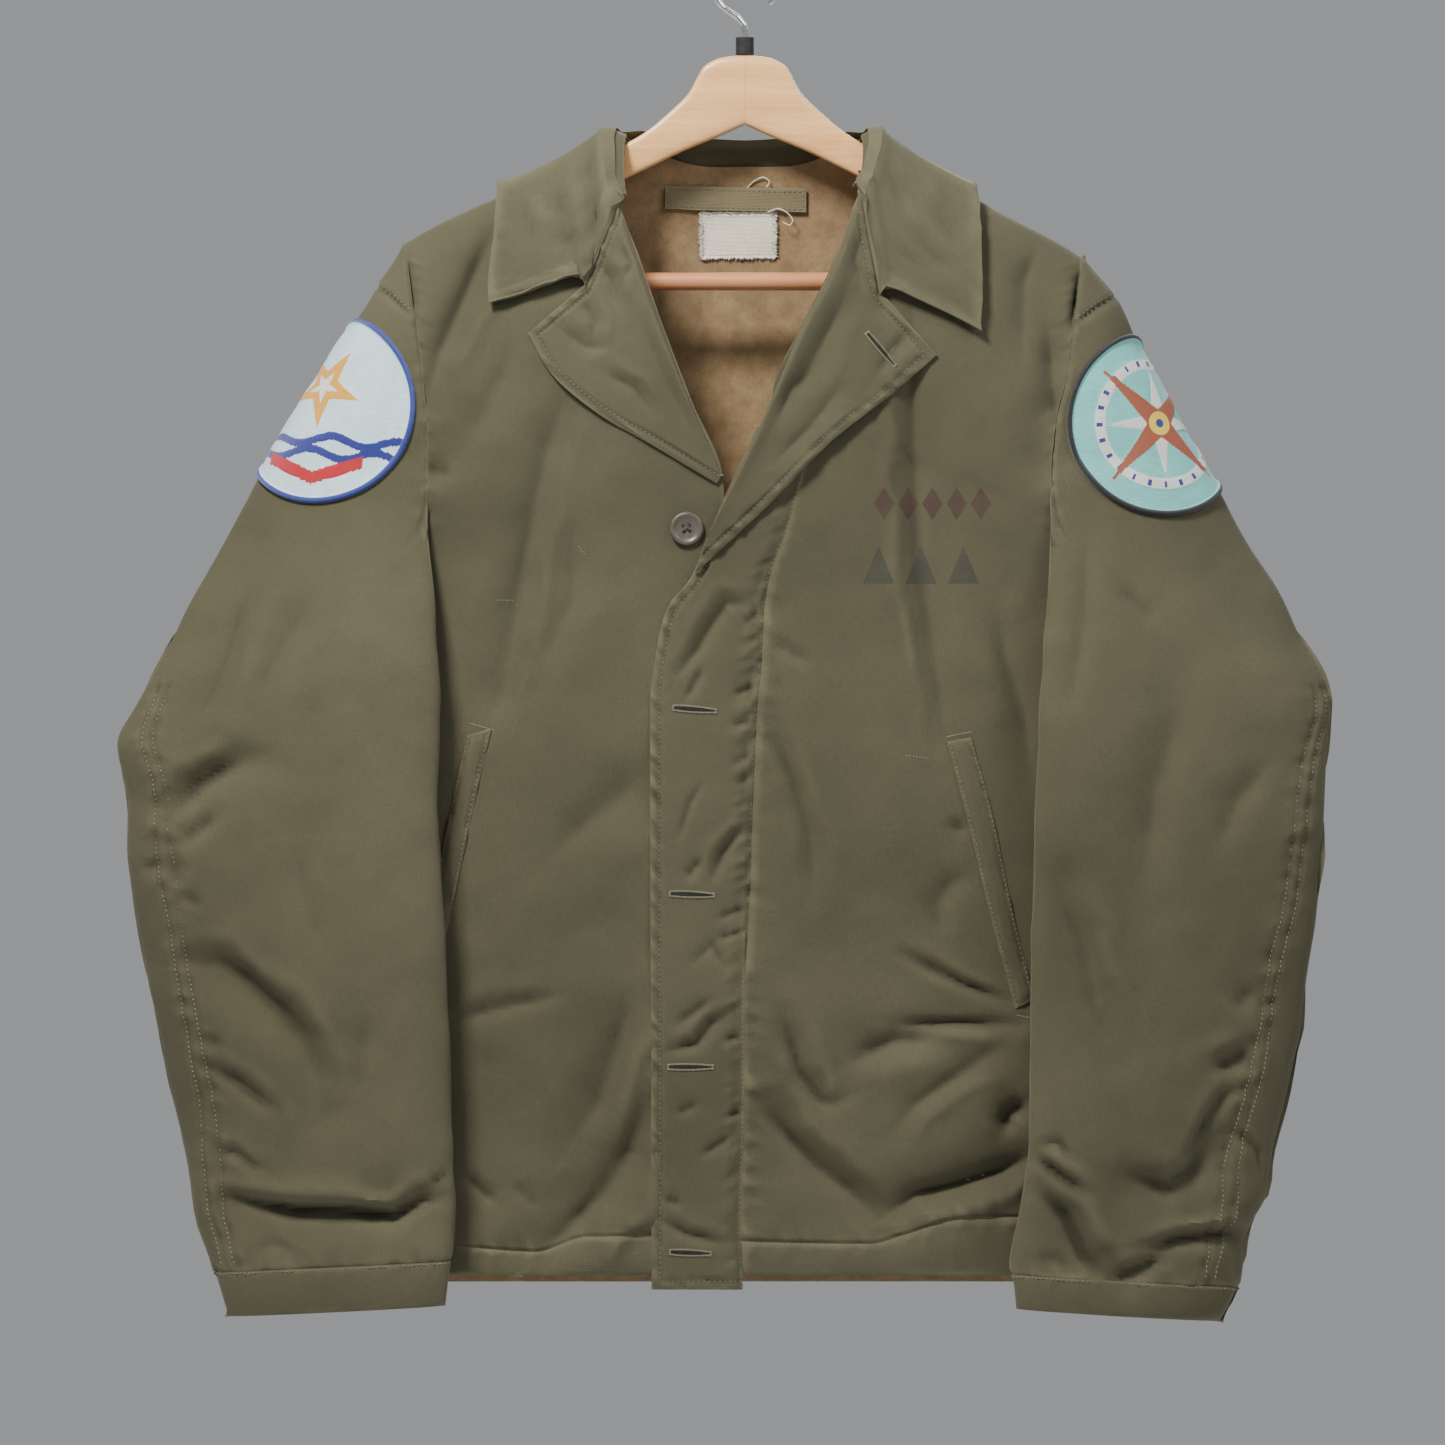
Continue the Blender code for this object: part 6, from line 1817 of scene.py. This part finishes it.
def hanger_arm(side, word, look):
    sides, stations = ARM_SIDES, ARM_STATIONS
    rings = []
    for x in np.linspace(ARM_BOARD[0][0], ARM_BOARD[-1][0], stations):
        drop = ARM_DROP[side] * float(smooth_step((x - 60) / 60))
        top, low, thick, y = (float(curve(ARM_BOARD, x, c)) for c in (1, 2, 3, 4))
        end = max(0.0, 1 - (x / ARM_BOARD[-1][0]) ** 60 * 0.35)
        middle = (top + low) / 2 * MM - drop
        high = (top - low) / 2 * MM * end
        angles = 2 * math.pi * (np.arange(sides) + 0.5) / sides
        c, s = np.cos(angles), np.sin(angles)
        ring_y = np.sign(c) * np.abs(c) ** 0.3 * thick * MM * end * 0.98 + y * MM
        ring_z = np.sign(s) * np.abs(s) ** 0.45 * high * 0.985 + middle
        rings.append(stack(side * x * MM, ring_y, ring_z))
    verts, faces = tube(rings, flip=side < 0)
    arm = add_mesh("beech_arm_" + word, verts, faces, look)
    return finish_piece(arm, "varnished_wood", ["hanger_arm_" + word])


def round_bar(look):
    angles = circle(48)
    rings = []
    for x in np.linspace(-BAR_REACH, BAR_REACH, 60):
        waist = BAR_RADIUS * (0.99 + 0.008 * math.sin(x * 31))
        rings.append(stack(x, np.cos(angles) * waist, np.sin(angles) * waist + BAR_HEIGHT))
    verts, faces = tube(rings)
    return finish_piece(add_mesh("beech_bar", verts, faces, look), "bare_wood", ["hanger_bar"])


def wire_hook(look):
    points = [(0, HOOK_FOOT), (0, -45 * MM), (-0.6 * MM, -41 * MM), (-4.5 * MM, -36.5 * MM)]
    for k in range(27):
        angle = HOOK_START + (HOOK_END - HOOK_START) * k / 26
        points.append((HOOK_RADIUS * math.cos(angle), WIRE - HOOK_RADIUS + HOOK_RADIUS * math.sin(angle)))
    line = np.array([(x, 3 * MM * float(smooth_step((-20 * MM - z) / (25 * MM))), z) for x, z in points])
    reach = np.concatenate(([0.0], np.cumsum(np.linalg.norm(np.diff(line, axis=0), axis=1))))
    at = np.linspace(0, reach[-1], 110)
    line = np.stack([np.interp(at, reach, line[:, i]) for i in range(3)], axis=1)
    ways = unit(np.gradient(line, axis=0))
    rings = []
    for k, (p, t) in enumerate(zip(line, ways)):
        a = unit(np.cross(t, np.array([0.0, 1.0, 0.0])))
        b = np.cross(t, a)
        left = min(k, len(line) - 1 - k) * (at[1] - at[0])
        radius = WIRE * 0.98 * math.sqrt(1 - (1 - min(1.0, 0.25 + left / WIRE)) ** 2)
        rings.append(ring(p, a, b, radius, circle(20)))
    verts, faces = tube(rings)
    return finish_piece(add_mesh("wire_hook", verts, faces, look), "chrome_wire", ["hanger_hook"])


def horn_button():
    """Turned button with a sunk face, a raised rim, four holes drawn as discs of painted shadow, and the
    threads that cross them.
    """
    x, z = BUTTON_AT
    here = np.array([x]), np.array([z])
    at = moved_out(plain_front_point, *here, np.array([BUTTON_THICKNESS / 2 + LAYER_GAP]))[0]
    axis = unit(at - plain_front_point(*here)[0])
    right = unit(np.cross(axis, np.array([0.0, 0.0, 1.0])))
    up = np.cross(right, axis)
    angles = circle(BUTTON_SIDES)
    rings = []
    for radius, height in BUTTON_PROFILE:
        spoke = max(radius, 0.002) * BUTTON_RADIUS
        rings.append(ring(at + axis * height * BUTTON_THICKNESS, right, up, spoke, angles))
    verts, faces = tube(rings, flip=True)
    button = add_mesh("horn_button", verts, faces, LOOKS["button"])
    turn_outward(button.data)
    finish_piece(button, "button_horn", ["button"])
    # Each hole is a near-black disc of painted shadow.
    holes = []
    thread = Thread()
    for k in range(4):
        turn = math.radians(38 + 90 * k)
        centre = at + axis * (0.15 * BUTTON_THICKNESS + 0.06 * MM)
        centre = centre + BUTTON_HOLE_SPREAD * (right * math.cos(turn) + up * math.sin(turn))
        pair = [ring(centre, right, up, radius, angles) for radius in (BUTTON_HOLE, 0.02 * MM)]
        holes.append(np.stack([np.vstack((each, each[:1])) for each in pair]))
    for turn in (38, 128):
        way = right * math.cos(math.radians(turn)) + up * math.sin(math.radians(turn))
        for shift in (-0.35, 0.0, 0.35):
            middle = at + axis * (0.15 * BUTTON_THICKNESS + 0.35 * MM) + np.cross(axis, way) * shift * MM
            thread.stitch(middle[None], axis[None], way[None], 2 * BUTTON_HOLE_SPREAD, 0.5 * MM, 0.45 * MM)
    join_strips("button_hole_shadows", holes, LOOKS["hole_shade"], "button_horn")
    thread.build("button_thread", LOOKS["dark thread"], COTTON)


# Light, floor and camera


def add_area(name, place, target, size, power, colour):
    data = bpy.data.lights.new(name, "AREA")
    data.shape = "SQUARE"
    data.size = size
    data.energy = power
    data.color = colour
    item = new_item(name, data)
    item.location = place
    item.rotation_euler = (Vector(target) - Vector(place)).to_track_quat("-Z", "Y").to_euler()


def build_stage():
    world = bpy.data.worlds.new("pale studio")
    world.use_nodes = True
    sky = world.node_tree.nodes["Background"].inputs
    sky["Color"].default_value = SKY_COLOUR
    sky["Strength"].default_value = SKY_STRENGTH
    bpy.context.scene.world = world
    bpy.ops.mesh.primitive_plane_add(size=FLOOR_SIZE, location=(0, 0, FLOOR))
    floor = bpy.context.object
    floor.name = "floor"
    pale = Nodes("pale floor")
    pale.set(Base_Color=FLOOR_COLOUR, Roughness=0.9)
    floor.data.materials.append(pale.material)
    for light in LIGHTS:
        add_area(*light)
    data = bpy.data.cameras.new("camera")
    camera = new_item("camera", data)
    camera.location = (FRAME_MIDDLE[0], FRONT_PLANE - CAMERA_FAR, FRAME_MIDDLE[1])
    camera.rotation_euler = (math.radians(90), 0.0, 0.0)
    data.sensor_width = SENSOR
    data.lens = SENSOR * CAMERA_FAR / FRAME_WIDTH
    bpy.context.scene.camera = camera


def declare_sheets():
    for name, width, length, area, hangs_from in SHEETS:
        list(hangs_from)


def sew_sleeve(side, thread, pale):
    """The felled rows and the cuff seam of one sleeve."""
    fell = np.linspace(-445 * MM, CUFF[side][0] * MM + 4 * MM, 420)
    for row in (1, 2):
        v = find_v(side, fell_place(side, fell, row), fell)
        p = sleeve_point(side, fell, v, 0.1 * MM)
        pale.line(p, sleeve_normal(side, fell, v), width=0.8 * MM, height=0.5 * MM, slant=0.35)
    v = np.linspace(0.06, 0.97, 300)
    z = np.full(300, CUFF[side][0] * MM - 1.2 * MM)
    thread.line(sleeve_point(side, z, v, 0.9 * MM), sleeve_normal(side, z, v), height=0.25 * MM)


def sew_cap(side, thread):
    for _, _, _, points in CAP_SEAMS:
        if points[0][0] * side > 0:
            at = np.linspace(0, 2, 40)
            x = np.interp(at, range(3), [abs(p[0]) for p in points]) * MM
            z = np.interp(at, range(3), [p[1] for p in points]) * MM + 2.6 * MM
            v = find_v(side, x, z)
            thread.line(sleeve_point(side, z, v, 0.1 * MM), sleeve_normal(side, z, v))


def sew_darns(side, pale):
    for start, end, pitch in DARNS[side]:
        share = np.linspace(0, 1, 12)
        x = (start[0] + (end[0] - start[0]) * share) * MM
        z = (start[1] + (end[1] - start[1]) * share) * MM
        normals = normals_of(front_point, x, z)
        pale.line(front_point(x, z), normals, pitch=pitch * MM, length=1.6 * MM, slant=1.2)


def build_side(side, word, thread, pale):
    """The front, sleeve, pocket welt and patch of one side with their stitches."""
    cloth = LOOKS["cloth"]
    front_look = cloth if side < 0 else LOOKS["printed cloth"]
    band = build_front(side, word, (front_look, LOOKS["wool"]))
    thread.line(*inset_line(band, "t", 0.9 * MM, "tb"), height=0.2 * MM)
    build_sleeve(side, word, cloth)
    welt = build_welt(side, word, cloth)
    outer, inner = "rl" if side < 0 else "lr"
    thread.line(*inset_line(welt, outer, 1.8 * MM, "lr"))
    thread.line(*inset_line(welt, inner, 1.2 * MM, "lr"))
    sew_sleeve(side, thread, pale)
    build_patch(side, word, *PATCHES[side])
    sew_cap(side, thread)
    sew_darns(side, pale)


def build_placket(thread, pale, slit_shades):
    grid = placket_grid()
    cloth_piece("cloth_placket", grid, WALL, (LOOKS["cloth"],), COTTON, "placket")
    thread.line(*inset_line(grid, "l", 5.4 * MM, "lb"))
    thread.line(*inset_line(grid, "r", 1.0 * MM, "r"), height=0.2 * MM)
    thread.line(*inset_line(grid, "b", 5.0 * MM, "lb"))
    for start, end in BUTTONHOLES:
        buttonhole(pale, slit_shades, grid, start, end)


def build_collar(thread, pale, slit_shades):
    """Both lapels, and the collar that is drawn to their ends."""
    looks = (LOOKS["cloth"],)
    collar = collar_grid()
    for side, word in SIDES:
        grid = lapel_grid(side)
        collar = joined_gorge(collar, grid, side)
        cloth_piece("cloth_lapel_" + word, grid, THIN_WALL, looks, COTTON, "lapel_" + word)
        outer = "r" if side > 0 else "l"
        for edge in (outer, "t"):
            thread.line(*inset_line(grid, edge, 5.0 * MM, "t" + outer))
        if side > 0:
            buttonhole(pale, slit_shades, grid, *LAPEL_HOLE, 0.8)
    cloth_piece("cloth_collar", collar, THIN_WALL, looks, COTTON, "collar")
    for edge in "blr":
        thread.line(*inset_line(collar, edge, 4.8 * MM, "blr"))
    buttonhole(pale, slit_shades, collar[22:], *COLLAR_HOLE, 0.45)


def build_neck():
    """The loop tape and the frayed label on the lining."""
    tape = neck_grid(LOOP_TAPE, *TAPE_GRID, TAPE_LIFT)
    cloth_piece("loop_tape", tape, 0.9 * MM, (LOOKS["tape"],), "olive_tape", "hanger_loop")
    label = frayed_edges(neck_grid(LABEL, *LABEL_GRID, LABEL_LIFT))
    cloth_piece("blank_label", label, 0.4 * MM, (LOOKS["label"],), "blank_label", "label")
    sewn = Thread()
    for edge in "tblr":
        sewn.line(*inset_line(tape, edge, 1.8 * MM, "tblr"))
    sewn.build("tape_stitches", LOOKS["thread"], "olive_tape")
    frayed_label(label)


def main():
    build_stage()
    thread, pale, slit_shades = Thread(), Thread(), []
    for side, word in SIDES:
        build_side(side, word, thread, pale)
    build_back(LOOKS["cloth"], LOOKS["wool"])
    build_placket(thread, pale, slit_shades)
    build_collar(thread, pale, slit_shades)
    thread.build("seam_stitches", LOOKS["thread"], COTTON)
    pale.build("buttonhole_stitches", LOOKS["pale thread"], COTTON)
    # Painted shade: near-black strips stand for the open buttonholes.
    join_strips("buttonhole_shade_strips", slit_shades, LOOKS["hole_shade"], COTTON)
    build_neck()
    for side, word in SIDES:
        hanger_arm(side, word, LOOKS["wood"])
    round_bar(LOOKS["bar"])
    wire_hook(LOOKS["chrome"])
    horn_button()
    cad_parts["hook_collar"].data.materials[0] = LOOKS["ferrule"]
    declare_sheets()


def frayed_edges(grid):
    """Makes the outline of a small grid uneven, as where threads have come out of a cut edge."""
    random = np.random.RandomState(8)
    rows, columns = grid.shape[:2]
    grid = grid.copy()
    for line in (0, -1):
        grid[line, :, 2] += random.uniform(-0.5, 0.5, columns) * MM
        grid[:, line, 0] += random.uniform(-0.5, 0.5, rows) * MM
    return grid


def loose_thread(name, points, radius, look, slot):
    """A thin loose thread through a few places."""
    points = np.array(points) * MM
    at = np.linspace(0, len(points) - 1, 60)
    line = np.stack([curve([(i, p[k]) for i, p in enumerate(points)], at) for k in range(3)], axis=1)
    ways = unit(np.gradient(line, axis=0))
    rings = []
    for p, t in zip(line, ways):
        a = unit(np.cross(t, np.array([0.0, 1.0, 0.2])))
        b = np.cross(t, a)
        rings.append(ring(p, a, b, radius, circle(6)))
    verts, faces = tube(rings)
    finish_piece(add_mesh(name, verts, faces, look), slot)


def frayed_label(grid):
    """Loose threads along the label's edges, and its loose zigzag stitches."""
    random = np.random.RandomState(5)
    fray = Thread()
    normal = grid_normals(grid)
    lines = {"t": grid[0], "b": grid[-1], "l": grid[:, 0], "r": grid[:, -1]}
    for edge, line in lines.items():
        inner = {"t": grid[4], "b": grid[-5], "l": grid[:, 4], "r": grid[:, -5]}[edge]
        out = unit(line - inner)
        count = len(line) * 3
        at = random.uniform(0, len(line) - 1.01, count)
        low = at.astype(int)
        w = (at - low)[:, None]
        p = line[low] * (1 - w) + line[low + 1] * w
        way = out[low] + random.normal(0, 0.35, (count, 3)) * np.array([1.0, 0.15, 1.0])
        n = normal[0, 0] + 0 * p
        length = random.uniform(2.0, 5.0, count) * MM
        for k in range(count):
            t = unit(way[k])
            fray.stitch(p[k:k + 1] + n[k] * 0.2 * MM, n[k:k + 1], t[None], length[k], 0.5 * MM, 0.35 * MM)
    for edge in "tblr":
        fray.line(*inset_line(grid, edge, 2.2 * MM, "tblr"), pitch=1.5 * MM, length=2.4 * MM, slant=0.9)
    white = LOOKS["white thread"]
    fray.build("label_threads", white, "blank_label")
    y = float(grid[0, 0, 1]) / MM
    for name, places in LOOSE_THREADS.items():
        points = [(x, y - off, z) for x, off, z in places]
        loose_thread(name, points, 0.35 * MM, white, "blank_label")


PATCHES = {
    -1: (right_patch_design, ("blue border", "pale blue", "gold", "navy", "red", "white"), "blue_patch"),
    1: (left_patch_design, ("black border", "aqua", "rust", "white", "yellow", "navy"), "aqua_patch"),
}

main()
